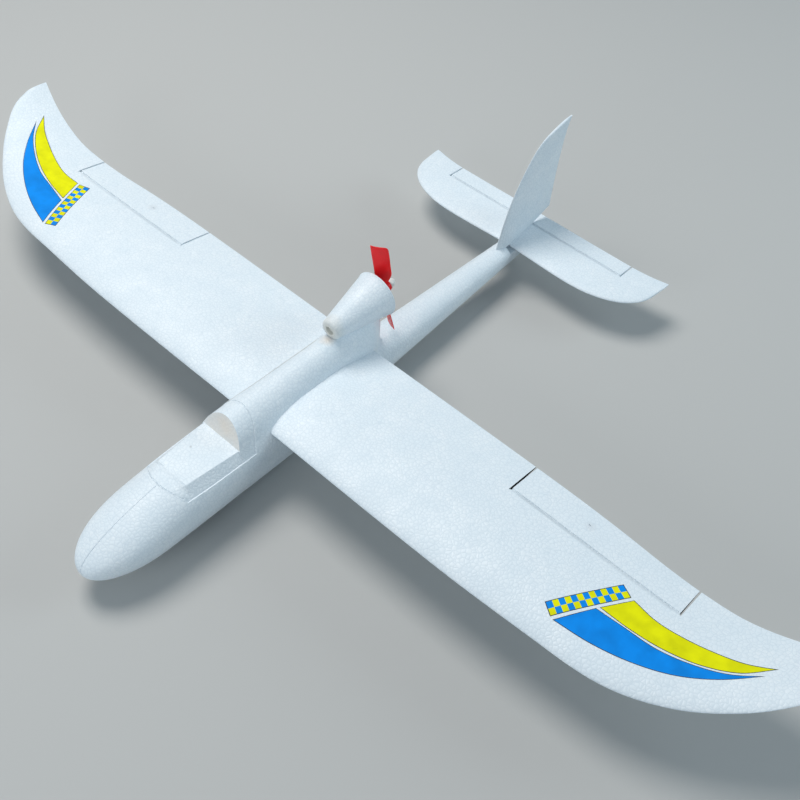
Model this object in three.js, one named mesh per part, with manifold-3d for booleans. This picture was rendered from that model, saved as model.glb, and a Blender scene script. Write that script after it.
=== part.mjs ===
// Small foam motor glider: pusher motor on a pod above the wing, three hinged control surfaces.
// Millimetres, +Z up, nose towards -Y, left wing towards +X.
// Everything is drawn from the wing's trailing edge (y = 0, z = 0) and then moved, so that the
// origin of the finished group is the middle of the belly skid's flat sole.
import * as THREE from 'three';
import { mergeVertices } from 'three/addons/utils/BufferGeometryUtils.js';
import Module from 'manifold-3d';

const wasm = await Module();
wasm.setup();

// ---- driving dimensions ----
const HALF_SPAN = 600;
const CHORD = 160;
const WING_THICKNESS = 0.09;
const WING_CAMBER = 0.025;
const WING_LE_RISE = 2.5;
const WING_ROOT_X = 12;
const TIP_RISE = 42;
const TIP_RISE_START = 321;
const AILERON_IN = 255;
const AILERON_OUT = 453;
const AILERON_HINGE = -43.5;
const AILERON_AXIS_Z = 6.4;
const SPAR_Y = -105;
const SPAR_Z = 5.6;
const SPAR_RADIUS = 3.5;
const SPAR_HALF = 250;
const FOIL_STEPS = 10;

const NOSE_Y = -386;
const NOSE_Z = -41;
const BODY_HALF_WIDTH = 40;
const BODY_TOP = 13;
const BELLY_Z = -66.5;
const BOOM_START_Y = 22;
const BOOM_END_Y = 305;
const BOOM_RADIUS = 25.7;
const BOOM_END_RADIUS = 13;
const BOOM_Z = -41.5;
const BOOM_END_Z = -37;
const SHELL = 8;
const TUNNEL_RADIUS = 6;

const DECK_Z = 6.8;
const DECK_FRONT_Y = -264.5;
const DECK_REAR_Y = -200.5;
const WALL_LEAN = 0.38;
const SCOOP_FRONT_Y = -283.5;
const HUMP_FRONT_Y = -201;
const HUMP_REAR_Y = 31;
const SILL_Z = -4.5;
const HATCH_FRONT_Y = -282.5;
const HATCH_BOW = 90;
const HATCH_REAR_Y = -185.5;
const HATCH_REAR_LEAN = 0.42;
const BULKHEAD_Y = -197;
const MAGNET_Y = [-194, -189];
const MAGNET_HALF_WIDTH = 4;
const MAGNET_HEIGHT = 5.6;

// The pod and the drive are drawn along the thrust line, which rises towards the tail.
const THRUST_Z = 50.6;
const THRUST_TILT = THREE.MathUtils.degToRad(4);
const POD_FRONT_Y = -45;
const POD_REAR_Y = 30.3;
const POD_FRONT_RADIUS = 11.8;
const POD_REAR_RADIUS = 27.5;
const POD_WALL = 4;
const POD_HOLLOW_Y = 3.5;
const DIMPLE_RADIUS = 5;
const DIMPLE_DEPTH = 5;
const MOUNT_RADIUS = 16;
const BORE_RADIUS = 2;
const HUB_RADIUS = 6.6;
const HUB_Y = [36.9, 46.5];
const NUT_Y = [46.9, 56.2];
const PROP_Y = 42;
const PROP_RADIUS = 57;
const BLADE_ANGLE = THREE.MathUtils.degToRad(7.4);
const BLADE_PITCH = 25;
const BLADE_CAMBER = 1;
const BLADE_CORNER = 4;

const TAIL_Z = -25.5;
const TAIL_THICKNESS = 8;
const TAIL_CHORD = 80;
const TAIL_HALF_SPAN = 189.5;
const ELEVATOR_HALF = 138;
const ELEVATOR_HINGE = 321;
const ELEVATOR_AXIS_Z = -23;
const FIN_TAB_Y = [284, 304];
const FIN_TAB_X = 2;

const SKID_FRONT_Y = -226;
const SKID_REAR_Y = -44;
const SKID_HALF_WIDTH = 23;
const SKID_SOLE_Z = -76;

const TRAY_TOP = -47.4;
const TRAY_THICKNESS = 2;
const TRAY_HALF_WIDTH = 22.4;
const TRAY_Y = [-322, -84];
const BATTERY_Y = [-318, -246];
const STRAP_Y = [-290, -274];

const GAP = 0.4;
const SLIT = 2;
const HINGE_GAP = 0.3;
const BEVEL = THREE.MathUtils.degToRad(30);
const BEVEL_DEPTH = 12;
const FAR = 60;
const BODY_MAGNET_Z = SILL_Z - 2 * GAP - MAGNET_HEIGHT;
const HATCH_MAGNET_Z = SILL_Z + GAP;

const AILERON_HORN_X = 334;
const LINK_Z = -8;
const AILERON_SHAFT_Y = -93;
const AILERON_SHAFT_Z = 3;
const ELEVATOR_SHAFT_Y = -58;
const ELEVATOR_SHAFT_Z = -52;
const ELEVATOR_ARM_HOLE_Z = -41;
const ELEVATOR_HORN_HOLE_Z = -35;
const ELEVATOR_PLATE = [-1.3, 0.3];
const ROD_RADIUS = 0.75;
const PIVOT_HOLE_RADIUS = 2;
const PLATE = 1.6;
const SERVO_AHEAD = 15;
const SERVO_BEHIND = 6;
const SERVO_HALF_WIDTH = 4.2;
const SERVO_DEPTH = 19;
const SERVO_STANDOFF = 2;
const SERVO_ROOM = 0.7;
const SWING_REACH = 8;
const SWING_ROOF_Z = 7.9;
const LEVER_HUB_RADIUS = 3.6;

// ---- small helpers ----
const clamp = THREE.MathUtils.clamp;
const lerp = THREE.MathUtils.lerp;
const smooth = THREE.MathUtils.smoothstep;

// A curve through [where, value] pairs, with the slope at each pair taken from its neighbours.
function curveThrough(pairs) {
  const slope = pairs.map((pair, i) => {
    const before = pairs[Math.max(i - 1, 0)];
    const after = pairs[Math.min(i + 1, pairs.length - 1)];
    return (after[1] - before[1]) / (after[0] - before[0]);
  });
  return (where) => {
    let i = 0;
    while (i < pairs.length - 2 && where > pairs[i + 1][0]) i += 1;
    const [x0, v0] = pairs[i];
    const [x1, v1] = pairs[i + 1];
    const step = x1 - x0;
    const t = clamp((where - x0) / step, 0, 1);
    const rise = t * t * (3 - 2 * t);
    const leave = t * (1 - t) * (1 - t) * step * slope[i];
    const arrive = t * t * (t - 1) * step * slope[i + 1];
    return v0 + (v1 - v0) * rise + leave + arrive;
  };
}

// Quarter of a superellipse: 0 at t = 0 with an upright tangent, 1 from t = 1 on.
function nosing(t, power = 2) {
  return Math.pow(1 - Math.pow(1 - clamp(t, 0, 1), power), 1 / power);
}

function signedVolume(points, triangles) {
  let sum = 0;
  const corner = (k) => new THREE.Vector3().fromArray(points, 3 * k);
  for (let i = 0; i < triangles.length; i += 3) {
    const [a, b, c] = [0, 1, 2].map((k) => corner(triangles[i + k]));
    sum += a.dot(b.cross(c)) / 6;
  }
  return sum;
}

// Makes a manifold solid of shared vertices and triangles, turned so that it faces out.
function solidFrom(points, triangles) {
  const outward = signedVolume(points, triangles) > 0;
  const triVerts = new Uint32Array(triangles.length);
  for (let i = 0; i < triangles.length; i += 3) {
    triVerts[i] = triangles[i];
    triVerts[i + 1] = triangles[outward ? i + 1 : i + 2];
    triVerts[i + 2] = triangles[outward ? i + 2 : i + 1];
  }
  const vertProperties = new Float32Array(points);
  return new wasm.Manifold(new wasm.Mesh({ numProp: 3, vertProperties, triVerts }));
}

function solid(geometry) {
  geometry.deleteAttribute('normal');
  geometry.deleteAttribute('uv');
  const merged = mergeVertices(geometry, 1e-4);
  const index = Array.from(merged.index.array);
  const triangles = [];
  for (let i = 0; i < index.length; i += 3) {
    const [a, b, c] = index.slice(i, i + 3);
    if (a !== b && b !== c && c !== a) triangles.push(a, b, c);
  }
  return solidFrom(Array.from(merged.attributes.position.array), triangles);
}

const join = (first, ...rest) => rest.reduce((whole, piece) => whole.add(piece), first);
const cut = (first, ...rest) => rest.reduce((whole, piece) => whole.subtract(piece), first);
const common = (first, ...rest) => rest.reduce((whole, piece) => whole.intersect(piece), first);

function capTriangles(ring, drop, forward) {
  const flat = ring.map((p) => new THREE.Vector2(...p.filter((_, axis) => axis !== drop)));
  const wanted = Math.sign(THREE.ShapeUtils.area(flat)) * (forward ? 1 : -1);
  return THREE.ShapeUtils.triangulateShape(flat, []).map(([a, b, c]) => {
    const corner = [flat[a], flat[b], flat[c]];
    return Math.sign(THREE.ShapeUtils.area(corner)) === wanted ? [a, b, c] : [a, c, b];
  });
}

// Triangles between neighbouring rings of equally many points.
function bands(rings) {
  const count = rings[0].length;
  const triangles = [];
  for (let row = 0; row < rings.length - 1; row += 1) {
    for (let i = 0; i < count; i += 1) {
      const a = row * count + i;
      const b = row * count + ((i + 1) % count);
      triangles.push(a, b, b + count, a, b + count, a + count);
    }
  }
  return triangles;
}

// Skin over rings of equally many points, each ring flat across the axis numbered drop.
function loft(rings, drop) {
  const last = (rings.length - 1) * rings[0].length;
  const triangles = [
    ...capTriangles(rings[0], drop, false).flat(),
    ...bands(rings),
    ...capTriangles(rings.at(-1), drop, true).flat().map((k) => k + last),
  ];
  return solidFrom(rings.flat(2), triangles);
}

// Skin over rings in any position, closed with fans about the end rings' middles.
function loftFree(rings) {
  const count = rings[0].length;
  const points = rings.flat(2);
  const triangles = bands(rings);
  [[0, true], [rings.length - 1, false]].forEach(([row, reverse]) => {
    const middle = points.length / 3;
    [0, 1, 2].forEach((axis) => {
      points.push(rings[row].reduce((sum, point) => sum + point[axis], 0) / count);
    });
    for (let i = 0; i < count; i += 1) {
      const [a, b] = [row * count + i, row * count + ((i + 1) % count)];
      triangles.push(middle, ...(reverse ? [b, a] : [a, b]));
    }
  });
  return solidFrom(points, triangles);
}

function box(xs, ys, zs) {
  const size = [xs, ys, zs].map(([low, high]) => high - low);
  const middle = [xs, ys, zs].map(([low, high]) => (low + high) / 2);
  return solid(new THREE.BoxGeometry(...size).translate(...middle));
}

// Round bar from one point to another.
function bar(from, to, radius, sides = 16) {
  const start = new THREE.Vector3(...from);
  const along = new THREE.Vector3(...to).sub(start);
  const geometry = new THREE.CylinderGeometry(radius, radius, along.length(), sides);
  geometry.translate(0, along.length() / 2, 0);
  const turn = new THREE.Quaternion();
  turn.setFromUnitVectors(new THREE.Vector3(0, 1, 0), along.clone().normalize());
  return solid(geometry.applyQuaternion(turn).translate(...from));
}

// Body of revolution about the thrust line; the profile holds [radius, y] pairs.
function turned(profile, sides = 28) {
  const points = profile.map(([radius, y]) => new THREE.Vector2(radius, y));
  const geometry = new THREE.LatheGeometry(points, sides).rotateX(THRUST_TILT);
  return solid(geometry.translate(0, 0, THRUST_Z));
}

// Point given by its place across, along and above the thrust line.
function thrustPoint(x, along, above) {
  const [c, s] = [Math.cos(THRUST_TILT), Math.sin(THRUST_TILT)];
  return [x, along * c - above * s, THRUST_Z + along * s + above * c];
}

// Round bar beside the thrust line, at an angle and a distance from it.
function thrustBar(low, high, radius, sides, angle = 0, distance = 0) {
  const [x, above] = [distance * Math.cos(angle), distance * Math.sin(angle)];
  return bar(thrustPoint(x, low, above), thrustPoint(x, high, above), radius, sides);
}

// The same stretch of X on the left side (side = 1) or mirrored to the right (side = -1).
function orderedX(side, low, high) {
  return side > 0 ? [low, high] : [-high, -low];
}

// Flat shape from corners in either order, with round holes given as [a, b, radius].
function outline(points, holes = []) {
  const corners = points.map(([a, b]) => new THREE.Vector2(a, b));
  if (THREE.ShapeUtils.isClockWise(corners)) corners.reverse();
  const shape = new THREE.Shape(corners);
  holes.forEach(([a, b, radius]) => {
    const hole = new THREE.Path();
    hole.absarc(a, b, radius, 0, 2 * Math.PI, true);
    shape.holes.push(hole);
  });
  return shape;
}

// Plate drawn in the Y-Z plane, from x = low to x = high.
function plateX(shape, low, high) {
  const options = { depth: high - low, bevelEnabled: false, curveSegments: 8 };
  const geometry = new THREE.ExtrudeGeometry(shape, options);
  const turn = new THREE.Matrix4().set(0, 0, 1, low, 1, 0, 0, 0, 0, 1, 0, 0, 0, 0, 0, 1);
  return solid(geometry.applyMatrix4(turn));
}

// Plate drawn in the X-Z plane, from y = low to y = high.
function plateY(shape, low, high) {
  const options = { depth: high - low, bevelEnabled: false, curveSegments: 4 };
  const geometry = new THREE.ExtrudeGeometry(shape, options);
  return solid(geometry.rotateX(Math.PI / 2).translate(0, high, 0));
}

// Plate drawn in the X-Y plane, from z = low to z = high.
function plateZ(shape, low, high) {
  const options = { depth: high - low, bevelEnabled: false, curveSegments: 8 };
  return solid(new THREE.ExtrudeGeometry(shape, options).translate(0, 0, low));
}

// Section of a wing or tail surface: upper side from the trailing edge forward, then the lower.
function foilRing(leading, trailing, thickness, camber, place, edge = 1.2) {
  const chord = trailing - leading;
  const point = (t, side) => {
    const bow = 0.2969 * Math.sqrt(t) - 0.126 * t - 0.3516 * t * t;
    const half = 5 * thickness * (bow + 0.2843 * t ** 3 - 0.1036 * t ** 4) + (edge * t) / 2 / chord;
    const crest = 0.4;
    const arch = t < crest
      ? (camber / crest ** 2) * (2 * crest * t - t * t)
      : (camber / (1 - crest) ** 2) * (1 - 2 * crest + 2 * crest * t - t * t);
    return place(leading + chord * t, chord * (arch + side * half));
  };
  const ring = [];
  for (let i = 0; i <= FOIL_STEPS; i += 1) {
    ring.push(point((1 + Math.cos((Math.PI * i) / FOIL_STEPS)) / 2, 1));
  }
  for (let i = 1; i <= FOIL_STEPS; i += 1) {
    ring.push(point((1 - Math.cos((Math.PI * i) / FOIL_STEPS)) / 2, -1));
  }
  return ring;
}

// ---- fuselage ----
function bodySize(y, inset = 0) {
  const taper = clamp((y - BOOM_START_Y) / (BOOM_END_Y - BOOM_START_Y), 0, 1);
  const toBoom = smooth(y, -95, BOOM_START_Y);
  const boomRadius = lerp(BOOM_RADIUS, BOOM_END_RADIUS, taper);
  const boomZ = lerp(BOOM_Z, BOOM_END_Z, taper);
  const front = NOSE_Y + inset;
  const width = BODY_HALF_WIDTH * nosing((y - front) / 80, 2.1);
  const top = NOSE_Z + (BODY_TOP - NOSE_Z) * nosing((y - front) / 206);
  const bottom = NOSE_Z + (BELLY_Z - NOSE_Z) * nosing((y - front) / 172);
  return {
    width: lerp(width, boomRadius, toBoom) - inset,
    top: lerp(top, boomZ + boomRadius, toBoom) - inset,
    bottom: lerp(bottom, boomZ - boomRadius, toBoom) + inset,
    power: lerp(2.25, 2, toBoom),
  };
}

// The hump behind the hatch: an arch on the body that narrows to an edge ahead of the propeller.
const humpHalfWidth = curveThrough([
  [-201, 27], [-165, 25.5], [-110, 23.5], [-50, 22.5], [2, 25], [14, 17], [31, 4.5],
]);
const humpTop = curveThrough([[-201, 31], [-168, 33], [-140, 33], [-50, 36], [31, 42]]);

function bodyRing(y, inset, hump, sides) {
  const size = bodySize(y, inset);
  const middle = (size.top + size.bottom) / 2;
  const half = (size.top - size.bottom) / 2;
  const archWidth = humpHalfWidth(y) - inset;
  const archHalf = (humpTop(y) - inset - middle) / 2;
  const ring = [];
  for (let i = 0; i < sides; i += 1) {
    const angle = (2 * Math.PI * (i + 0.5)) / sides;
    const [c, s] = [Math.cos(angle), Math.sin(angle)];
    const wide = Math.abs(c / size.width) ** size.power;
    const tall = Math.abs(s / half) ** size.power;
    let reach = (wide + tall) ** (-1 / size.power);
    if (hump && s > 0) {
      const arch = (2 * s) / archHalf / ((c / archWidth) ** 2 + (s / archHalf) ** 2);
      reach = (reach ** 9 + arch ** 9) ** (1 / 9);
    }
    ring.push([reach * c, y, middle + reach * s]);
  }
  return ring;
}

function stations(low, high, count, ease = 1) {
  return Array.from({ length: count + 1 }, (_, i) => low + (high - low) * (i / count) ** ease);
}

// The body without its hump, its skin moved inwards by inset.
function bodyLoft(inset, sides = 24) {
  const ys = [
    ...stations(NOSE_Y + inset + 1, -300, 5, 2),
    -250, -170, ...stations(-100, BOOM_START_Y, 4), 110, 200, BOOM_END_Y + 6,
  ];
  return loft(ys.map((y) => bodyRing(y, inset, false, sides)), 1);
}

// The whole outer skin: nose, body with the hump behind the hatch, and the boom.
function fuselageLoft(grow = 0) {
  const sides = 36;
  const ring = (hump) => (y) => bodyRing(y, -grow, hump, sides);
  const rounded = bodyRing(BOOM_END_Y, 4, false, sides);
  const humpYs = [
    HUMP_FRONT_Y, -185, -168, -150, -105, -75, -50, -32, -15, -2, 8, 16, 24, HUMP_REAR_Y,
  ];
  const rings = [
    ...stations(NOSE_Y + 0.4, -306, 8, 2).map(ring(false)),
    ...[-285, -262, -230, HUMP_FRONT_Y - 0.1].map(ring(false)),
    ...humpYs.map(ring(true)),
    ...[HUMP_REAR_Y + 0.1, 100, 170, 240, BOOM_END_Y - 5].map(ring(false)),
    rounded,
  ];
  return loft(rings, 1);
}

const podRadius = (y) => {
  const along = (y - POD_FRONT_Y) / (POD_REAR_Y - POD_FRONT_Y);
  return lerp(POD_FRONT_RADIUS, POD_REAR_RADIUS, along);
};

function podOuter(grow) {
  const lip = 4;
  return turned([
    [0, POD_FRONT_Y - grow],
    [podRadius(POD_FRONT_Y) - lip + grow, POD_FRONT_Y - grow],
    [podRadius(POD_FRONT_Y + 1.2) - 1.2 + grow, POD_FRONT_Y + 1.2 - grow],
    [podRadius(POD_FRONT_Y + lip) + grow, POD_FRONT_Y + lip],
    [podRadius(POD_REAR_Y - 5) + grow, POD_REAR_Y - 5],
    [podRadius(POD_REAR_Y - 1) - 0.4 + grow, POD_REAR_Y - 1],
    [podRadius(POD_REAR_Y) - 1.6 + grow, POD_REAR_Y + grow],
    [0, POD_REAR_Y + grow],
  ], 30);
}

function hatchRegion(grow) {
  const side = outline([
    [-330, SILL_Z - grow],
    [HATCH_REAR_Y + grow, SILL_Z - grow],
    [HATCH_REAR_Y + HATCH_REAR_LEAN * (FAR - SILL_Z) + grow, FAR],
    [-330, FAR],
  ]);
  const front = HATCH_FRONT_Y - grow;
  const bow = FAR ** 2 / HATCH_BOW;
  const behind = HATCH_REAR_Y + FAR;
  const plan = new THREE.Shape();
  plan.moveTo(-FAR, behind);
  plan.lineTo(-FAR, front + bow);
  plan.quadraticCurveTo(0, front - bow, FAR, front + bow);
  plan.lineTo(FAR, behind);
  return common(plateX(side, -FAR, FAR), plateZ(plan, SILL_Z - 5, FAR));
}

function trayOutline(grow) {
  const [half, front, rear] = [TRAY_HALF_WIDTH + grow, TRAY_Y[0] - grow, TRAY_Y[1] + grow];
  return outline([[-half, front], [half, front], [half, rear], [-half, rear]]);
}

// One of the two magnets that hold the hatch down, standing on z = foot.
function magnet(foot, grow = 0) {
  const half = MAGNET_HALF_WIDTH + grow;
  return box(
    [-half, half],
    [MAGNET_Y[0] - grow, MAGNET_Y[1] + grow],
    [foot - grow, foot + MAGNET_HEIGHT + grow],
  );
}

// Room inside the foam: the equipment bay, the pushrod tunnel and the seats of what is fitted.
function fuselageHollows() {
  const bulkhead = box([-FAR, FAR], [BULKHEAD_Y, 40], [-14, FAR]);
  const bay = cut(bodyLoft(SHELL), bulkhead, box([-FAR, FAR], [-30, 330], [-80, FAR]));
  const tunnel = bar([0, -40, BOOM_Z], [0, BOOM_END_Y + 9, BOOM_END_Z], TUNNEL_RADIUS, 16);
  const saddle = box([-40, 40], [262, 330], [TAIL_Z - TAIL_THICKNESS / 2 - 0.7, 0]);
  const spar = bar([-FAR, SPAR_Y, SPAR_Z], [FAR, SPAR_Y, SPAR_Z], SPAR_RADIUS + GAP);
  const traySeat = plateZ(trayOutline(GAP), TRAY_TOP - TRAY_THICKNESS - GAP, TRAY_TOP + GAP);
  const strapSeat = box([-20, 20], [STRAP_Y[0] - 1, STRAP_Y[1] + 1], [TRAY_TOP - 4, TRAY_TOP]);
  const servoSeat = box(
    [ELEVATOR_PLATE[0] - SERVO_STANDOFF - SERVO_DEPTH - SERVO_ROOM, 0],
    [ELEVATOR_SHAFT_Y - SERVO_AHEAD - GAP, ELEVATOR_SHAFT_Y + SERVO_BEHIND + GAP],
    [ELEVATOR_SHAFT_Z - SERVO_HALF_WIDTH - GAP, ELEVATOR_SHAFT_Z + 10],
  );
  const magnetSeat = join(magnet(BODY_MAGNET_Z, GAP), magnet(BODY_MAGNET_Z + 2, GAP));
  const seats = [saddle, spar, traySeat, strapSeat, servoSeat, magnetSeat];
  return join(bay, tunnel, ...seats, hatchRegion(GAP), podOuter(GAP));
}

function fuselageHalf(side) {
  const split = 0.15;
  const reach = 80;
  const half = box(orderedX(side, split, reach), [-420, 330], [-90, 90]);
  const hollows = join(fuselageHollows(), wingLoft(1, GAP), wingLoft(-1, GAP));
  return common(cut(fuselageLoft(), hollows), half);
}

// Flat-topped block under the deck: the rings hold a top half width, a top and a foot half width.
function deckBlock() {
  const foot = SILL_Z - 1;
  const rings = [
    [-271, 17, 1.5, 32], [DECK_FRONT_Y, 21.5, DECK_Z, 33], [DECK_REAR_Y, 26.6, DECK_Z, 35],
    [HATCH_REAR_Y, 24.5, DECK_Z - 1, 34.6],
  ].map(([y, top, height, bottom]) => [
    [bottom, y, foot], [top, y, height], [-top, y, height], [-bottom, y, foot],
  ]);
  return loft(rings, 1);
}

// Everything above the scoop in front of the deck.
function aboveScoop() {
  const scoop = curveThrough([
    [SCOOP_FRONT_Y, 6.2], [-279, 5.4], [-274, 4.7], [-271, 4.4], [-267.5, 5.6], [DECK_FRONT_Y, 7.2],
  ]);
  const floor = stations(SCOOP_FRONT_Y, DECK_FRONT_Y, 8).map((y) => [y, scoop(y)]);
  return plateX(outline([...floor, [DECK_FRONT_Y, FAR], [SCOOP_FRONT_Y, FAR]]), -FAR, FAR);
}

function canopyHatch() {
  const whole = common(join(fuselageLoft(), deckBlock()), hatchRegion(0));
  const overDeck = plateX(outline([
    [DECK_FRONT_Y - 1, DECK_Z],
    [DECK_REAR_Y, DECK_Z],
    [DECK_REAR_Y + WALL_LEAN * (FAR - DECK_Z), FAR],
    [DECK_FRONT_Y - 1, FAR],
  ]), -FAR, FAR);
  const magnetSeat = join(magnet(HATCH_MAGNET_Z, GAP), magnet(HATCH_MAGNET_Z - 2, GAP));
  return cut(whole, overDeck, aboveScoop(), magnetSeat);
}

function stadium(front, rear, halfWidth, steps = 6) {
  const ring = [];
  [[rear - halfWidth * 1.6, 0], [front + halfWidth * 1.6, Math.PI]].forEach(([y, start]) => {
    for (let i = 0; i <= 2 * steps; i += 1) {
      const angle = start + (Math.PI * i) / (2 * steps);
      ring.push([halfWidth * Math.cos(angle), y + 1.6 * halfWidth * Math.sin(angle)]);
    }
  });
  return ring;
}

function bellySkid() {
  const levels = [[-56, 0, 0], [-68, 0, 0], [-73.5, 1.6, 4], [SKID_SOLE_Z, 5, 12]];
  const rings = levels.map(([z, narrower, shorter]) => {
    const ring = stadium(SKID_FRONT_Y + shorter, SKID_REAR_Y - shorter, SKID_HALF_WIDTH - narrower);
    return ring.map(([x, y]) => [x, y, z]);
  });
  return cut(loft(rings, 2), fuselageLoft(GAP), box([-FAR, FAR], [-300, 0], [-FAR, 0]));
}

// ---- wing ----
const wingLeading = curveThrough([
  [0, -160], [250, -160], [360, -155], [440, -148], [500, -125], [550, -89], [582, -54],
  [594, -34], [HALF_SPAN, -14],
]);
const wingTrailing = curveThrough([
  [0, 0], [290, 0], [360, -1.5], [420, -5], [460, -6.3], [500, -5.9], [540, 0], [570, 7],
  [HALF_SPAN, 16.5],
]);
const wingRise = (x) => {
  const t = clamp((x - TIP_RISE_START) / (HALF_SPAN - TIP_RISE_START), 0, 1);
  return TIP_RISE * t ** 4 - 2.2 * smooth(x, 200, 450);
};

function wingRing(x, side, grow) {
  const leading = wingLeading(x) - grow;
  const trailing = wingTrailing(x) + grow;
  const thin = lerp(1, 0.6, smooth(x, 420, HALF_SPAN));
  const thickness = WING_THICKNESS * thin + (2 * grow) / CHORD;
  const place = (y, z) => {
    const toLeading = clamp((wingTrailing(x) - y) / CHORD, 0, 1);
    return [side * x, y, z + wingRise(x) + WING_LE_RISE * toLeading];
  };
  return foilRing(leading, trailing, thickness, WING_CAMBER, place, 1.6 + 2 * grow);
}

function wingLoft(side, grow) {
  const xs = grow > 0
    ? [WING_ROOT_X - grow, FAR]
    : [
      WING_ROOT_X, 90, 170, AILERON_IN, 330, 390, AILERON_OUT, 475, 497, 516, 533, 548, 562, 574,
      584, 591, 596.5, HALF_SPAN,
    ];
  return loft(xs.map((x) => wingRing(x, side, grow)), 0);
}

// Side view of what lies behind a hinge line: the surface itself, whose front is bevelled below
// the hinge, or with room > 0 the square-fronted space cut for it.
function surfaceSide(hinge, axisZ, rear, room) {
  const front = hinge + HINGE_GAP - room;
  const foot = axisZ - BEVEL_DEPTH;
  const bevel = room > 0 ? 0 : BEVEL_DEPTH * Math.tan(BEVEL);
  return outline([
    [front, axisZ + BEVEL_DEPTH], [front, axisZ], [front + bevel, foot], [rear, foot],
    [rear, axisZ + BEVEL_DEPTH],
  ]);
}

function aileronRegion(side, room) {
  const ends = room > 0 ? SLIT : 0;
  const xs = orderedX(side, AILERON_IN - ends, AILERON_OUT + ends);
  return plateX(surfaceSide(AILERON_HINGE, AILERON_AXIS_Z, 30, room), ...xs);
}

function wing(side) {
  const spar = bar([0, SPAR_Y, SPAR_Z], [side * (SPAR_HALF + 1), SPAR_Y, SPAR_Z], SPAR_RADIUS + GAP);
  const [shaft, x] = [AILERON_SHAFT_Y, AILERON_HORN_X];
  const servoXs = orderedX(side, x - SERVO_STANDOFF - SERVO_DEPTH - SERVO_ROOM, x - SERVO_ROOM);
  const servoYs = [shaft - SERVO_AHEAD - GAP, shaft + SERVO_BEHIND + GAP];
  const swingXs = orderedX(side, x - 2 * SERVO_ROOM, x + 4);
  const swingYs = [shaft - SWING_REACH, shaft + SWING_REACH];
  const servo = box(servoXs, servoYs, [-20, SWING_ROOF_Z]);
  const swing = box(swingXs, swingYs, [-20, SWING_ROOF_Z]);
  return cut(wingLoft(side, 0), aileronRegion(side, 2 * HINGE_GAP), spar, servo, swing);
}

function aileron(side) {
  const x = AILERON_HORN_X;
  const foot = box(orderedX(side, x - 0.3, x + 2.3), [AILERON_HINGE, -20], [-20, 3.3]);
  return cut(common(wingLoft(side, 0), aileronRegion(side, 0)), foot);
}

// ---- tail ----
const tailLeading = curveThrough([
  [0, 270], [85, 266.5], [120, 268.5], [150, 277], [173, 292], [186, 314], [TAIL_HALF_SPAN, 344],
]);
const tailTrailing = curveThrough([[0, 347], [138, 347], [165, 349], [TAIL_HALF_SPAN, 353.6]]);

function tailLoft(grow) {
  const half = [0, 60, 100, 124, 140, 154, 166, 175, 182, 186.5, TAIL_HALF_SPAN];
  const xs = [...half.slice(1).reverse().map((x) => -x), ...half];
  const rings = xs.map((x) => {
    const leading = tailLeading(Math.abs(x)) - grow;
    const trailing = tailTrailing(Math.abs(x)) + grow;
    const thickness = (TAIL_THICKNESS + 2 * grow) / TAIL_CHORD;
    return foilRing(leading, trailing, thickness, 0, (y, z) => [x, y, TAIL_Z + z], 1.4 + 2 * grow);
  });
  return loft(rings, 0);
}

function elevatorRegion(room) {
  const reach = ELEVATOR_HALF + (room > 0 ? SLIT : 0);
  return plateX(surfaceSide(ELEVATOR_HINGE, ELEVATOR_AXIS_Z, 400, room), -reach, reach);
}

function stabiliser() {
  const [front, rear] = FIN_TAB_Y;
  const slot = box([-FIN_TAB_X - GAP, FIN_TAB_X + GAP], [front - GAP, rear + GAP], [-40, 0]);
  return cut(tailLoft(0), elevatorRegion(2 * HINGE_GAP), slot);
}

function elevator() {
  const foot = box([-1.6, 0.6], [ELEVATOR_HINGE, 340], [-40, -24.6]);
  return cut(common(tailLoft(0), elevatorRegion(0)), foot);
}

const finLeading = curveThrough([
  [-30, 247], [-12, 250.6], [20, 259], [50, 271], [87, 294], [108, 318], [117, 352], [118.4, 362],
]);
const finTrailing = curveThrough([
  [-30, 300], [-21.9, 321.5], [-11, 354.7], [-10, 354.8], [6, 354.6], [59, 357.3], [102, 363],
  [118.4, 369],
]);

function fin() {
  const zs = [-30, -21.9, -11, 6, 28, 50, 70, 87, 98, 107, 113, 117, 118.4];
  const rings = zs.map((z) => {
    const [leading, trailing] = [finLeading(z), finTrailing(z)];
    const thickness = lerp(9.5, 3.2, clamp((z + 30) / 148, 0, 1)) / (trailing - leading);
    return foilRing(leading, trailing, Math.min(thickness, 0.16), 0, (y, x) => [x, y, z], 1.6);
  });
  const tab = box([-FIN_TAB_X, FIN_TAB_X], FIN_TAB_Y, [-29.6, -15]);
  return join(cut(loft(rings, 2), fuselageLoft(GAP), tailLoft(GAP)), tab);
}

// ---- drive ----
function motorPod() {
  const hollow = turned([
    [0, POD_HOLLOW_Y],
    [podRadius(POD_HOLLOW_Y) - POD_WALL, POD_HOLLOW_Y],
    [podRadius(POD_REAR_Y) - POD_WALL, POD_REAR_Y + 0.1],
    [podRadius(POD_REAR_Y) - POD_WALL, POD_REAR_Y + 6],
    [0, POD_REAR_Y + 6],
  ], 30);
  const dimple = thrustBar(POD_FRONT_Y - 5, POD_FRONT_Y + DIMPLE_DEPTH, DIMPLE_RADIUS, 24);
  return cut(podOuter(0), hollow, dimple);
}

function motorMount() {
  const [airRadius, airDistance, middleRadius] = [2.4, 12, 3.5];
  const plate = turned([[0, 4], [MOUNT_RADIUS, 4], [MOUNT_RADIUS, 6], [0, 6]], 24);
  const air = [0, 1, 2, 3].map((k) => (
    thrustBar(0, 10, airRadius, 8, (Math.PI / 2) * k, airDistance)
  ));
  return cut(plate, thrustBar(0, 10, middleRadius, 12), ...air);
}

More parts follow.
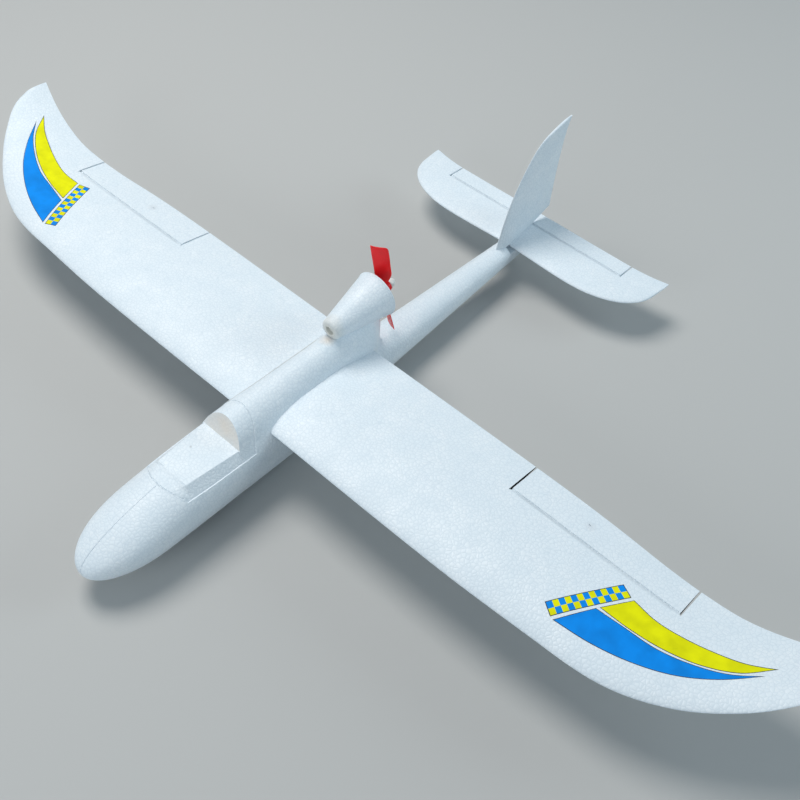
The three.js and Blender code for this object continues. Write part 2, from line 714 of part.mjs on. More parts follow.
function motorStator() {
  return turned([
    [2.4, 6.4], [9.5, 6.4], [9.5, 9], [5, 9.6], [5, 11.4], [9.2, 11.4], [9.2, 24], [2.4, 24],
    [2.4, 6.4],
  ], 18);
}

function motorBell() {
  return turned([
    [0, 7.4], [1.6, 7.4], [1.6, 24.8], [10, 24.8], [10, 11], [11.5, 11], [11.5, 26.4], [9, 28],
    [4.5, 28.6], [4.5, 30.6], [1.6, 31], [1.6, 50], [0, 50],
  ], 20);
}

function propCollet() {
  return turned([[2, 31.2], [4.4, 31.2], [6.2, 34.6], [6.2, 36.5], [2, 36.5], [2, 31.2]], 24);
}

// Broad paddle blade with a square tip, rounded at its rear corner; it turns flatter outwards.
function bladeLoft(turnAngle) {
  const halfChord = curveThrough([[4, 3.2], [9, 6.4], [15, 8.8], [30, 9.4], [44, 10.1], [57, 10.5]]);
  const radii = [3.5, 7, 11, 16, 24, 34, 44, 51, 54, 56, PROP_RADIUS];
  const rings = radii.map((radius) => {
    const pitch = Math.atan2(BLADE_PITCH, radius + 4);
    const thick = lerp(2.6, 1, radius / PROP_RADIUS);
    const front = -halfChord(radius);
    const corner = clamp((radius - PROP_RADIUS + BLADE_CORNER) / BLADE_CORNER, 0, 1);
    const rear = halfChord(radius) - BLADE_CORNER * (1 - Math.sqrt(1 - corner * corner));
    const ring = [];
    const steps = 12;
    for (let i = 0; i < steps; i += 1) {
      const angle = (2 * Math.PI * i) / steps;
      const share = Math.cos(angle);
      const along = lerp(front, rear, (1 + share) / 2);
      const across = (thick / 2) * Math.sin(angle) - BLADE_CAMBER * (1 - share * share);
      const flat = along * Math.cos(pitch) - across * Math.sin(pitch);
      const back = along * Math.sin(pitch) + across * Math.cos(pitch);
      const x = flat * Math.cos(turnAngle) - radius * Math.sin(turnAngle);
      const above = flat * Math.sin(turnAngle) + radius * Math.cos(turnAngle);
      ring.push(thrustPoint(x, PROP_Y + back, above));
    }
    return ring;
  });
  return loftFree(rings);
}

function propeller() {
  const [front, rear] = HUB_Y;
  const hub = turned([
    [0, front], [HUB_RADIUS - 0.6, front], [HUB_RADIUS, front + 0.8], [HUB_RADIUS, rear - 0.8],
    [HUB_RADIUS - 0.6, rear], [0, rear],
  ], 24);
  const bore = thrustBar(front - 5, rear + 5, BORE_RADIUS, 16);
  return cut(join(hub, bladeLoft(BLADE_ANGLE), bladeLoft(BLADE_ANGLE + Math.PI)), bore);
}

function propNut() {
  const [front, rear] = NUT_Y;
  const outer = turned([
    [0, front], [5.4, front], [5.4, rear - 7.2], [4.9, rear - 4.3], [3.7, rear - 1.9],
    [2, rear - 0.5], [0, rear],
  ], 24);
  return cut(outer, thrustBar(front - 5, rear - 5, BORE_RADIUS, 16));
}

// ---- controls ----
// Servo whose shaft leaves its face at x = face on the side given.
function servoBody(face, side, shaftY, shaftZ) {
  const xs = [face, face - side * SERVO_DEPTH].sort((a, b) => a - b);
  const ys = [shaftY - SERVO_AHEAD, shaftY + SERVO_BEHIND];
  const shell = box(xs, ys, [shaftZ - SERVO_HALF_WIDTH, shaftZ + SERVO_HALF_WIDTH]);
  const boss = bar([face - side, shaftY, shaftZ], [face + 1.6 * side, shaftY, shaftZ], 3, 16);
  return join(shell, boss);
}

// Lever in the Y-Z plane from a hub at (y, z) to a hole at (holeY, holeZ).
function lever(xs, [y, z], [holeY, holeZ], hubRadius) {
  const tip = PIVOT_HOLE_RADIUS + 1.4;
  const length = Math.hypot(holeY - y, holeZ - z);
  const turn = Math.atan2(holeZ - z, holeY - y);
  const shape = new THREE.Shape();
  shape.absarc(0, 0, hubRadius, 0.4 * Math.PI, 1.6 * Math.PI, false);
  shape.absarc(length, 0, tip, -0.45 * Math.PI, 0.45 * Math.PI, false);
  const hole = new THREE.Path();
  hole.absarc(length, 0, PIVOT_HOLE_RADIUS, 0, 2 * Math.PI, true);
  shape.holes.push(hole);
  const geometry = new THREE.ExtrudeGeometry(shape, {
    depth: xs[1] - xs[0], bevelEnabled: false, curveSegments: 10,
  });
  geometry.rotateZ(turn).translate(y, z, xs[0]);
  const axes = new THREE.Matrix4().set(0, 0, 1, 0, 1, 0, 0, 0, 0, 1, 0, 0, 0, 0, 0, 1);
  return solid(geometry.applyMatrix4(axes));
}

// Wire between two lever holes, with a short end bent through each lever.
function pushrod(x, from, to, toward) {
  const start = [x, ...from];
  const end = [x, ...to];
  const wire = bar(start, end, ROD_RADIUS, 8);
  const bends = [start, end].map((p) => {
    const [inner, outer] = [x - toward * 0.3, x + toward * (PLATE + 2.2)];
    return bar([inner, p[1], p[2]], [outer, p[1], p[2]], 0.6, 8);
  });
  const knees = [start, end].map((p) => solid(new THREE.SphereGeometry(1, 8, 6).translate(...p)));
  return join(wire, ...bends, ...knees);
}

function aileronServo(side) {
  const face = side * (AILERON_HORN_X - SERVO_STANDOFF);
  return servoBody(face, side, AILERON_SHAFT_Y, AILERON_SHAFT_Z);
}

const orderedPlate = (side) => orderedX(side, AILERON_HORN_X, AILERON_HORN_X + PLATE);

function aileronArm(side) {
  const shaft = [AILERON_SHAFT_Y, AILERON_SHAFT_Z];
  return lever(orderedPlate(side), shaft, [AILERON_SHAFT_Y, LINK_Z], LEVER_HUB_RADIUS);
}

function aileronHorn(side) {
  const shape = outline([
    [AILERON_HINGE + 5.4, 2.9], [AILERON_HINGE + 16, 2.9], [AILERON_HINGE + 14, -1.5],
    [AILERON_HINGE + 3.6, LINK_Z - 2], [AILERON_HINGE + 1, LINK_Z - 3.4],
    [AILERON_HINGE - 2.4, LINK_Z - 2.6], [AILERON_HINGE - 3.4, LINK_Z],
    [AILERON_HINGE - 2.4, LINK_Z + 2.6], [AILERON_HINGE + 4.4, -1.5],
  ], [[AILERON_HINGE, LINK_Z, PIVOT_HOLE_RADIUS]]);
  return plateX(shape, ...orderedPlate(side));
}

function aileronPushrod(side) {
  const x = side * (AILERON_HORN_X + PLATE + 1.2);
  return pushrod(x, [AILERON_SHAFT_Y, LINK_Z], [AILERON_HINGE, LINK_Z], -side);
}

function elevatorServo() {
  return servoBody(ELEVATOR_PLATE[0] - SERVO_STANDOFF, 1, ELEVATOR_SHAFT_Y, ELEVATOR_SHAFT_Z);
}

function elevatorArm() {
  const shaft = [ELEVATOR_SHAFT_Y, ELEVATOR_SHAFT_Z];
  return lever(ELEVATOR_PLATE, shaft, [ELEVATOR_SHAFT_Y, ELEVATOR_ARM_HOLE_Z], LEVER_HUB_RADIUS);
}

function elevatorHorn() {
  const [y, z] = [ELEVATOR_HINGE, ELEVATOR_HORN_HOLE_Z];
  const shape = outline([
    [y + 5.4, -25], [y + 15, -25], [y + 13, -29.5], [y + 3.4, z - 2.4], [y, z - 3.4],
    [y - 2.8, z - 2], [y - 3.4, z + 0.4], [y - 2.2, z + 2.8], [y + 4.6, -29.5],
  ], [[y, z, PIVOT_HOLE_RADIUS]]);
  return plateX(shape, ...ELEVATOR_PLATE);
}

function elevatorPushrod() {
  const from = [ELEVATOR_SHAFT_Y, ELEVATOR_ARM_HOLE_Z];
  const to = [ELEVATOR_HINGE, ELEVATOR_HORN_HOLE_Z];
  return pushrod(ELEVATOR_PLATE[1] + 1.2, from, to, -1);
}

// ---- equipment ----
function equipmentTray() {
  const [front, rear] = [STRAP_Y[0] - 1, STRAP_Y[1] + 1];
  const slots = [-1, 1].map((side) => box(orderedX(side, 17.6, 20.4), [front, rear], [-60, -40]));
  return cut(plateZ(trayOutline(0), TRAY_TOP - TRAY_THICKNESS, TRAY_TOP), ...slots);
}

function battery() {
  const radius = 3;
  const [x, z0, z1] = [16.5, TRAY_TOP + GAP, TRAY_TOP + 18];
  const corners = [[x - radius, z1 - radius], [-x + radius, z1 - radius],
    [-x + radius, z0 + radius], [x - radius, z0 + radius]];
  const shape = new THREE.Shape();
  corners.forEach(([cx, cz], k) => {
    shape.absarc(cx, cz, radius, (Math.PI / 2) * k, (Math.PI / 2) * (k + 1), false);
  });
  return plateY(shape, ...BATTERY_Y);
}

function batteryStrap() {
  const [thick, half, low, high] = [1.2, 19.4, TRAY_TOP - 3.6, TRAY_TOP + 19.6];
  const inner = half - thick;
  const outer = box([-half, half], STRAP_Y, [low, high]);
  return cut(outer, box([-inner, inner], [-300, -260], [low + thick, high - thick]));
}

function equipmentBox(halfWidth, ys, height) {
  return box([-halfWidth, halfWidth], ys, [TRAY_TOP + GAP, TRAY_TOP + GAP + height]);
}

// ---- materials ----
const finishes = {
  foam: [0xf2f5f7, 0.55, 0],
  whitePlastic: [0xf4f4f0, 0.35, 0],
  redPlastic: [0xd80f14, 0.2, 0],
  blackPlastic: [0x1c1d20, 0.45, 0],
  bluePlastic: [0x2a5bb0, 0.4, 0],
  carbon: [0x22242a, 0.35, 0.1],
  steel: [0xb8bcc2, 0.3, 1],
  aluminium: [0xc4c8ce, 0.35, 1],
  copper: [0xa8622e, 0.4, 0.8],
  plywood: [0xc9a36a, 0.7, 0],
  blackWebbing: [0x202226, 0.9, 0],
  heatShrink: [0x2c4fa8, 0.5, 0],
};

function node(name, piece, finish) {
  const mesh = piece.getMesh();
  const geometry = new THREE.BufferGeometry();
  geometry.setAttribute('position', new THREE.BufferAttribute(mesh.vertProperties, 3));
  geometry.setIndex(new THREE.BufferAttribute(mesh.triVerts, 1));
  const [color, roughness, metalness] = finishes[finish];
  const material = new THREE.MeshStandardMaterial({ color, roughness, metalness });
  const part = new THREE.Mesh(geometry, material);
  part.name = name;
  return part;
}

// ---- assembly ----
const glider = new THREE.Group();
const sides = [['left', 1], ['right', -1]];
sides.forEach(([name, side]) => {
  glider.add(node(`fuselage_${name}`, fuselageHalf(side), 'foam'));
  glider.add(node(`wing_${name}`, wing(side), 'foam'));
  glider.add(node(`aileron_${name}`, aileron(side), 'foam'));
  glider.add(node(`aileron_servo_${name}`, aileronServo(side), 'bluePlastic'));
  glider.add(node(`aileron_servo_arm_${name}`, aileronArm(side), 'whitePlastic'));
  glider.add(node(`aileron_horn_${name}`, aileronHorn(side), 'whitePlastic'));
  glider.add(node(`aileron_pushrod_${name}`, aileronPushrod(side), 'steel'));
});
const sparEnds = [[-SPAR_HALF, SPAR_Y, SPAR_Z], [SPAR_HALF, SPAR_Y, SPAR_Z]];
glider.add(node('spar_tube', bar(...sparEnds, SPAR_RADIUS), 'carbon'));
glider.add(node('canopy_hatch', canopyHatch(), 'foam'));
glider.add(node('belly_skid', bellySkid(), 'foam'));
glider.add(node('stabiliser', stabiliser(), 'foam'));
glider.add(node('elevator', elevator(), 'foam'));
glider.add(node('fin', fin(), 'foam'));
glider.add(node('motor_pod', motorPod(), 'foam'));
glider.add(node('motor_mount', motorMount(), 'plywood'));
glider.add(node('motor_stator', motorStator(), 'copper'));
glider.add(node('motor_bell', motorBell(), 'aluminium'));
glider.add(node('prop_collet', propCollet(), 'aluminium'));
glider.add(node('propeller', propeller(), 'redPlastic'));
glider.add(node('prop_nut', propNut(), 'whitePlastic'));
glider.add(node('elevator_servo', elevatorServo(), 'bluePlastic'));
glider.add(node('elevator_servo_arm', elevatorArm(), 'whitePlastic'));
glider.add(node('elevator_horn', elevatorHorn(), 'whitePlastic'));
glider.add(node('elevator_pushrod', elevatorPushrod(), 'steel'));
glider.add(node('equipment_tray', equipmentTray(), 'plywood'));
glider.add(node('battery', battery(), 'heatShrink'));
glider.add(node('battery_strap', batteryStrap(), 'blackWebbing'));
glider.add(node('speed_controller', equipmentBox(12, [-238, -198], 8), 'blackPlastic'));
glider.add(node('receiver', equipmentBox(11, [-178, -140], 12), 'blackPlastic'));
glider.add(node('body_magnet', magnet(BODY_MAGNET_Z), 'steel'));
glider.add(node('hatch_magnet', magnet(HATCH_MAGNET_Z), 'steel'));
glider.position.set(0, -(SKID_FRONT_Y + SKID_REAR_Y) / 2, -SKID_SOLE_Z);

export default glider;
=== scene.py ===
"""Looks of a small white foam motor glider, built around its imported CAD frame."""
import math

import bpy
import numpy as np
from mathutils import Matrix, Vector


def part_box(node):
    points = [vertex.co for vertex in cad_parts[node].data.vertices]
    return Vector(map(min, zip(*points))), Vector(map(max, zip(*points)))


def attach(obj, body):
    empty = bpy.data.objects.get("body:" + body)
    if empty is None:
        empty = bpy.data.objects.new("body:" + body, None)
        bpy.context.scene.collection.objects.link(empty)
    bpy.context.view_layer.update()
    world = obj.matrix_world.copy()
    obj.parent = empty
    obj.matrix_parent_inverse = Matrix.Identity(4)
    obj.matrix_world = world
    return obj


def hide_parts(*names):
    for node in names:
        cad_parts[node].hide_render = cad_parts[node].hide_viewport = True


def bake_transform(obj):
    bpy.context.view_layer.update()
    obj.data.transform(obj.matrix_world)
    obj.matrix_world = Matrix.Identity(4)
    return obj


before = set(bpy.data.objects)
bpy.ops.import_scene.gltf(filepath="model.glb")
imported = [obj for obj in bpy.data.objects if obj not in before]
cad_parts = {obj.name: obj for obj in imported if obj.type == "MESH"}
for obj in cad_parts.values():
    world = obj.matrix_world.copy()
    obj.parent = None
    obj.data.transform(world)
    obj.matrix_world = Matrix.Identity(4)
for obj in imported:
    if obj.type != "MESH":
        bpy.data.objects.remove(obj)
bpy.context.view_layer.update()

# ---- driving dimensions, in millimetres from the wing's trailing edge, as in the CAD ----
HALF_SPAN = 600
CHORD = 160
WING_THICKNESS = 0.09
WING_CAMBER = 0.025
WING_LE_RISE = 2.5
WING_ROOT_X = 12
TIP_RISE = 42
TIP_RISE_START = 321
AILERON_X = (255, 453)
AILERON_HINGE = (-43.5, 6.4)
AILERON_HORN_X = 334
AILERON_SHAFT = (-93, 3)
SPAR = (-105, 5.6)
SPAR_RADIUS = 3.5
SPAR_HALF = 250

NOSE = (-385.4, -41)
BODY_HALF_WIDTH = 40
BODY_TOP = 13
BELLY_Z = -66.5
BOOM_START = (22, -41.5, 25.7)
BOOM_END = (305, -37, 13)
SHELL = 8
TUNNEL_RADIUS = 6

DECK_Z = 6.8
DECK_Y = (-264.5, -200.5)
WALL_LEAN = 0.38
SCOOP_FRONT_Y = -283.5
HUMP_Y = (-201, 31)
SILL_Z = -4.5
HATCH_FRONT_Y = -282.5
HATCH_BOW = 90
# The hatch is drawn as the body's skin and narrowed by this share, so it stands a little inside.
HATCH_INSET = 0.966
HATCH_REAR_Y = -185.5
HATCH_REAR_LEAN = 0.42
BULKHEAD_Y = -197
MAGNET_Y = (-194, -189)
MAGNET_HALF_WIDTH = 4
MAGNET_HEIGHT = 5.6

# The pod and the drive are drawn along the thrust line, which rises towards the tail.
THRUST_Z = 50.6
THRUST_TILT = math.radians(4)
POD_Y = (-45, 30.3)
POD_RADIUS = (11.8, 27.5)
POD_WALL = 4
POD_HOLLOW_Y = 3.5
DIMPLE_RADIUS = 5
DIMPLE_DEPTH = 5
BORE_RADIUS = 2
HUB_RADIUS = 6.6
HUB_Y = (36.9, 46.5)
NUT_Y = (46.9, 56.2)
PROP_Y = 42
PROP_RADIUS = 57
BLADE_ANGLE = math.radians(7.4)
BLADE_PITCH = 25
BLADE_CAMBER = 1
BLADE_CORNER = 4

TAIL_Z = -25.5
TAIL_THICKNESS = 8
TAIL_CHORD = 80
TAIL_HALF_SPAN = 189.5
ELEVATOR_HALF = 138
ELEVATOR_HINGE = (321, -23)
FIN_TAB_Y = (284, 304)
FIN_TAB_X = 2

SKID_Y = (-226, -44)
SKID_HALF_WIDTH = 23
SKID_SOLE_Z = -76
TRAY_TOP = -47.4
TRAY_THICKNESS = 2
TRAY_HALF_WIDTH = 22.4
TRAY_Y = (-322, -84)
STRAP_Y = (-290, -274)
ELEVATOR_SHAFT = (-58, -52)
ELEVATOR_SERVO_X = -3.3
SERVO_SEAT_X = -23
SERVO_AHEAD = 15
SERVO_BEHIND = 6
SERVO_HALF_WIDTH = 4.2
SERVO_DEPTH = 19
SWING_REACH = 8
SWING_ROOF_Z = 7.9

GAP = 0.4
SNUG = 0.05
SLIT = 2
HINGE_GAP = 0.3
GROOVE_HALF_WIDTH = 2.3
GROOVE_DEPTH = 1.0
GROOVE_LEAN = 0.8
SKIN_THICKNESS = 0.35
BEVEL = math.radians(30)
BEVEL_DEPTH = 12
FAR = 60
SHARP_ANGLE = math.radians(32)
# How far from the wall's plane, in metres, a face may lie and still count as the deck's wall.
WALL_REACH = 0.0003

# Looks of the foam: the size of a bead in metres, then colours.
BEAD = 0.0042
FOAM = (0.825, 0.885, 0.93)
FOAM_SHADE = (0.75, 0.83, 0.89)
FOAM_SEAM = (0.60, 0.69, 0.765)
# Painted warm light: a beige for the deck's leaning wall, as if warm light fell on it.
PAINTED_WARM_LIGHT = (0.84, 0.77, 0.69)

# The scene, in metres.
FLOOR_REACH = 30
CAMERA_PLACE = (0.5540, -0.4441, 0.9267)
CAMERA_ANGLES = (40.12, 49.95, 3.46)
CAMERA_LENS = 46.74

# The CAD stands on the skid, so its boxes say where the drawing's zero lies.
DATUM = Matrix.Translation((
    0,
    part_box("wing_left")[0].y + CHORD / 1000,
    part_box("belly_skid")[0].z - SKID_SOLE_Z / 1000,
))
TO_FRAME = DATUM @ Matrix.Scale(0.001, 4)
THRUST_LINE = Matrix.Translation((0, 0, THRUST_Z)) @ Matrix.Rotation(THRUST_TILT, 4, "X")
SIDES = (("left", 1), ("right", -1))
# Only this side's wing slits get the painted near-black shade.
SHADED_SLIT_SIDE = "left"


# ---- curves ----
def clamp(value, low=0.0, high=1.0):
    return max(low, min(high, value))


def lerp(start, end, share):
    return start + (end - start) * share


def smoothstep(value, low, high):
    t = clamp((value - low) / (high - low))
    return t * t * (3 - 2 * t)


def curve_through(*pairs):
    """A curve through (where, value) pairs, with slopes taken from the neighbours."""
    last = len(pairs) - 1
    slopes = []
    for i in range(last + 1):
        before, after = pairs[max(i - 1, 0)], pairs[min(i + 1, last)]
        slopes.append((after[1] - before[1]) / (after[0] - before[0]))

    def value(where):
        i = 0
        while i < last - 1 and where > pairs[i + 1][0]:
            i += 1
        (x0, v0), (x1, v1) = pairs[i], pairs[i + 1]
        step = x1 - x0
        t = clamp((where - x0) / step)
        leave = t * (1 - t) ** 2 * step * slopes[i]
        arrive = t * t * (t - 1) * step * slopes[i + 1]
        return v0 + (v1 - v0) * t * t * (3 - 2 * t) + leave + arrive

    return value


def nosing(t, power=2.0):
    """Quarter of a superellipse: upright at t = 0, level from t = 1 on."""
    return (1 - (1 - clamp(t)) ** power) ** (1 / power)


def spread(low, high, step):
    return list(np.linspace(low, high, max(2, round(abs(high - low) / step) + 1)))


def thrust_point(x, along, above):
    """Point given by its place across, along and above the thrust line."""
    return THRUST_LINE @ Vector((x, along, above))


# ---- mesh making, all in drawing millimetres ----
def new_piece(name, points, faces):
    mesh = bpy.data.meshes.new(name)
    mesh.from_pydata([tuple(map(float, p)) for p in points], [], faces)
    piece = bpy.data.objects.new(name, mesh)
    bpy.context.scene.collection.objects.link(piece)
    return piece


def face_out(piece):
    """Turns every face of a closed piece outward when its volume comes out negative."""
    mesh = piece.data
    mesh.calc_loop_triangles()
    points = np.array([v.co for v in mesh.vertices])
    corners = points[np.array([t.vertices for t in mesh.loop_triangles])]
    volume = np.einsum("ij,ij->i", corners[:, 0], np.cross(corners[:, 1], corners[:, 2])).sum()
    if volume < 0:
        mesh.flip_normals()
    return piece


def loft(name, rings):
    """Closed skin over rings of equally many points."""
    count = len(rings[0])
    points = [p for ring in rings for p in ring]
    faces = []
    for s in range(len(rings) - 1):
        for i in range(count):
            a, b = s * count + i, s * count + (i + 1) % count
            faces.append((a, b, b + count, a + count))
    faces.append(tuple(reversed(range(count))))
    faces.append(tuple(range(len(points) - count, len(points))))
    return face_out(new_piece(name, points, faces))


def wheel(name, profile, sides=96):
    """Body of revolution about the thrust line; the profile of (radius, y) closes on itself."""
    angles = [2 * math.pi * i / sides for i in range(sides)]
    points = []
    for angle in angles:
        for radius, y in profile:
            points.append(thrust_point(radius * math.cos(angle), y, radius * math.sin(angle)))
    count = len(profile)
    faces = []
    for s in range(sides):
        for i in range(count):
            a, b = s * count + i, s * count + (i + 1) % count
            c, d = (b + count) % len(points), (a + count) % len(points)
            faces.append((a, b, c, d))
    piece = new_piece(name, points, faces)
    weld(piece)
    return face_out(piece)


def weld(piece, distance=0.001):
    """Merges points that coincide, such as those of a profile on its axis."""
    modify(piece, "WELD", merge_threshold=distance)


def prism(name, outline, axis, low, high):
    """Straight prism over an outline drawn in the two axes that are left."""
    def place(a, b, height):
        point = [a, b]
        point.insert(axis, height)
        return point

    return loft(name, [[place(a, b, h) for a, b in outline] for h in (low, high)])


def box(name, xs, ys, zs):
    corners = [(xs[0], ys[0]), (xs[1], ys[0]), (xs[1], ys[1]), (xs[0], ys[1])]
    return prism(name, corners, 2, zs[0], zs[1])


def tube(name, path, radius, sides=8):
    """Round bar along a path; radius may be a function of the share of the path."""
    path = [Vector(p) for p in path]
    size = radius if callable(radius) else (lambda share: radius)
    up = Vector((0, 0, 1))
    if abs((path[-1] - path[0]).normalized().z) > 0.9:
        up = Vector((0, 1, 0))
    rings = []
    for i, point in enumerate(path):
        along = (path[min(i + 1, len(path) - 1)] - path[max(i - 1, 0)]).normalized()
        across = along.cross(up).normalized()
        over = across.cross(along)
        r = size(i / (len(path) - 1))
        angles = [2 * math.pi * (k + 0.5) / sides for k in range(sides)]
        rings.append([point + r * (across * math.cos(a) + over * math.sin(a)) for a in angles])
    return loft(name, rings)


def modify(piece, kind, **settings):
    """Adds a modifier and applies it at once."""
    modifier = piece.modifiers.new(kind.lower(), kind)
    for name, value in settings.items():
        setattr(modifier, name, value)
    bpy.context.view_layer.update()
    evaluated = piece.evaluated_get(bpy.context.evaluated_depsgraph_get())
    mesh = bpy.data.meshes.new_from_object(evaluated)
    old = piece.data
    piece.modifiers.clear()
    piece.data = mesh
    bpy.data.meshes.remove(old)
    return piece


def drop(piece):
    mesh = piece.data
    bpy.data.objects.remove(piece)
    bpy.data.meshes.remove(mesh)


def combine(piece, tools, operation):
    """Works the tools on the piece one after another and deletes them."""
    for tool in tools:
        modify(piece, "BOOLEAN", operation=operation, solver="EXACT", object=tool)
        drop(tool)
    return piece


def cut(piece, *tools):
    return combine(piece, tools, "DIFFERENCE")


def keep(piece, *tools):
    """Keeps what the piece shares with every tool."""
    return combine(piece, tools, "INTERSECT")


def unite(piece, *tools):
    return combine(piece, tools, "UNION")


def copy_of(piece, name):
    twin = piece.copy()
    twin.data = piece.data.copy()
    twin.name = name
    bpy.context.scene.collection.objects.link(twin)
    return twin


def join(name, *pieces):
    """Separate shells in one mesh."""
    points, faces = [], []
    for piece in pieces:
        start = len(points)
        points += [v.co.copy() for v in piece.data.vertices]
        faces += [tuple(start + i for i in p.vertices) for p in piece.data.polygons]
        drop(piece)
    return new_piece(name, points, faces)


def finish_piece(piece, material):
    """Moves a finished drawing into the frame and gives it its looks."""
    piece.data.transform(TO_FRAME)
    piece.data.shade_smooth()
    piece.data.set_sharp_from_angle(angle=SHARP_ANGLE)
    for entry in material if isinstance(material, (list, tuple)) else [material]:
        piece.data.materials.append(entry)


def seat(piece, body, slot, material, *nodes):
    """Finishes a piece that moves with one body, and may stand for CAD nodes."""
    finish_piece(piece, material)
    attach(piece, body)
    if nodes:
        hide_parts(*nodes)
    return piece


# ---- materials ----
def principled(name, color, roughness, metallic=0.0, **sockets):
    material = bpy.data.materials.new(name)
    material.use_nodes = True
    tree = material.node_tree
    shader = tree.nodes["Principled BSDF"]
    shader.inputs["Base Color"].default_value = (*color, 1)
    shader.inputs["Roughness"].default_value = roughness
    shader.inputs["Metallic"].default_value = metallic
    for socket, value in sockets.items():
        shader.inputs[socket.replace("_", " ")].default_value = value
    return material, tree, shader


def add(tree, kind, inputs=None, **settings):
    """Adds a shader node; inputs are constants or the sockets that feed it."""
    node = tree.nodes.new("ShaderNode" + kind)
    for name, value in settings.items():
        setattr(node, name, value)
    for name, value in (inputs or {}).items():
        socket = node.inputs[name]
        if isinstance(value, bpy.types.NodeSocket):
            tree.links.new(value, socket)
        else:
            socket.default_value = value
    return node


def place_socket(tree, scale=(1, 1, 1)):
    """The object's own coordinates in metres, stretched by scale."""
    coordinates = add(tree, "TexCoord").outputs["Object"]
    mapping = add(tree, "Mapping", {"Vector": coordinates, "Scale": scale})
    return mapping.outputs["Vector"]


def feed(tree, shader, color, height, strength, distance, gloss=None):
    """Links a shader's colour, its bump and, where given, its roughness."""
    inputs = {"Height": height, "Strength": strength, "Distance": distance}
    tree.links.new(color, shader.inputs["Base Color"])
    if gloss is not None:
        tree.links.new(gloss, shader.inputs["Roughness"])
    tree.links.new(add(tree, "Bump", inputs).outputs["Normal"], shader.inputs["Normal"])


def blend_colors(tree, share, first, second):
    """Colour mixed from first to second by share."""
    node = add(tree, "Mix", {0: share}, data_type="RGBA")
    for socket, value in zip(
        [s for s in node.inputs if s.type == "RGBA"], (first, second)
    ):
        if isinstance(value, bpy.types.NodeSocket):
            tree.links.new(value, socket)
        else:
            socket.default_value = (*value, 1)
    return next(s for s in node.outputs if s.type == "RGBA")


def ramp(tree, value, low, high, start=0.0, end=1.0):
    """value moved from the range low..high to start..end, without leaving it."""
    inputs = {"Value": value, "From Min": low, "From Max": high, "To Min": start, "To Max": end}
    return add(tree, "MapRange", inputs, clamp=True).outputs["Result"]


def math_socket(tree, operation, first, second):
    return add(tree, "Math", {0: first, 1: second}, operation=operation).outputs[0]


def stain_and_light_socket(tree, where, middle, radius, uneven):
    """1 at a place on the piece, fading to 0 at an uneven edge about radius away."""
    inputs = {0: where, 1: middle}
    away = add(tree, "VectorMath", inputs, operation="DISTANCE").outputs["Value"]
    wavering = math_socket(tree, "ADD", away, math_socket(tree, "MULTIPLY", uneven, radius * 0.8))
    return ramp(tree, wavering, radius * 1.3, radius * 0.5)


def streak_socket(tree, where, start, end, radius):
    """1 along a straight line from start to end, fading to 0 about radius away from it."""
    length = (Vector(end) - Vector(start)).length
    along = tuple((Vector(end) - Vector(start)) / length)
    offset = add(tree, "VectorMath", {0: where, 1: start}, operation="SUBTRACT").outputs[0]
    reach = add(tree, "VectorMath", {0: offset, 1: along}, operation="DOT_PRODUCT").outputs["Value"]
    across = add(tree, "VectorMath", {0: offset, 1: along}, operation="CROSS_PRODUCT").outputs[0]
    away = add(tree, "VectorMath", {0: across}, operation="LENGTH").outputs["Value"]
    inside = math_socket(
        tree, "MULTIPLY", ramp(tree, reach, -radius, 4 * radius),
        ramp(tree, reach, length + radius, length - 4 * radius),
    )
    return math_socket(tree, "MULTIPLY", inside, ramp(tree, away, radius * 1.3, radius * 0.1))


def frame_point(x, y, z):
    return tuple(TO_FRAME @ Vector((x, y, z)))


def foam_material(name, stains_and_painted_light=(), shade_streaks=()):
    """Moulded bead foam: packed beads, faint mottling, uneven gloss, and painted marks.

    stains_and_painted_light holds (middle, radius, colour, strength) for round patches: real stains
    as well as painted shade and painted warm light; shade_streaks holds (start, end, radius,
    colour, strength) for lines of painted shade.
    """
    material, tree, shader = principled(name, FOAM, 0.5, Specular_IOR_Level=0.45)
    where = place_socket(tree)
    packing = {"Vector": where, "Scale": 1 / BEAD, "Randomness": 1.0}
    beads = add(tree, "TexVoronoi", packing)
    edges = add(tree, "TexVoronoi", packing, feature="DISTANCE_TO_EDGE")
    clouds = add(tree, "TexNoise", {"Vector": where, "Scale": 38.0, "Detail": 3.0})
    grain = add(tree, "TexNoise", {"Vector": where, "Scale": 1500.0, "Detail": 2.0})
    seams = ramp(tree, edges.outputs["Distance"], 0.0, 0.11)
    tone = blend_colors(tree, ramp(tree, clouds.outputs["Fac"], 0.35, 0.65), FOAM, FOAM_SHADE)
    bead_tone = math_socket(tree, "MULTIPLY", beads.outputs["Color"], 0.8)
    tone = blend_colors(tree, bead_tone, tone, FOAM_SHADE)
    between = ramp(tree, seams, 0.0, 1.0, 0.5, 0.0)
    tone = blend_colors(tree, between, tone, FOAM_SEAM)
    marks = [
        (stain_and_light_socket(tree, where, middle, radius, clouds.outputs["Fac"]), color, strength)
        for middle, radius, color, strength in stains_and_painted_light
    ]
    marks += [
        (streak_socket(tree, where, start, end, radius), color, strength)
        for start, end, radius, color, strength in shade_streaks
    ]
    for share, color, strength in marks:
        tone = blend_colors(tree, math_socket(tree, "MULTIPLY", share, strength), tone, color)
    gloss = ramp(tree, clouds.outputs["Fac"], 0.3, 0.7, 0.4, 0.56)
    dome = ramp(tree, edges.outputs["Distance"], 0.0, 0.3)
    fine = math_socket(tree, "MULTIPLY", grain.outputs["Fac"], 0.25)
    height = math_socket(tree, "ADD", dome, fine)
    feed(tree, shader, tone, height, 0.6, 0.00035, gloss)
    return material


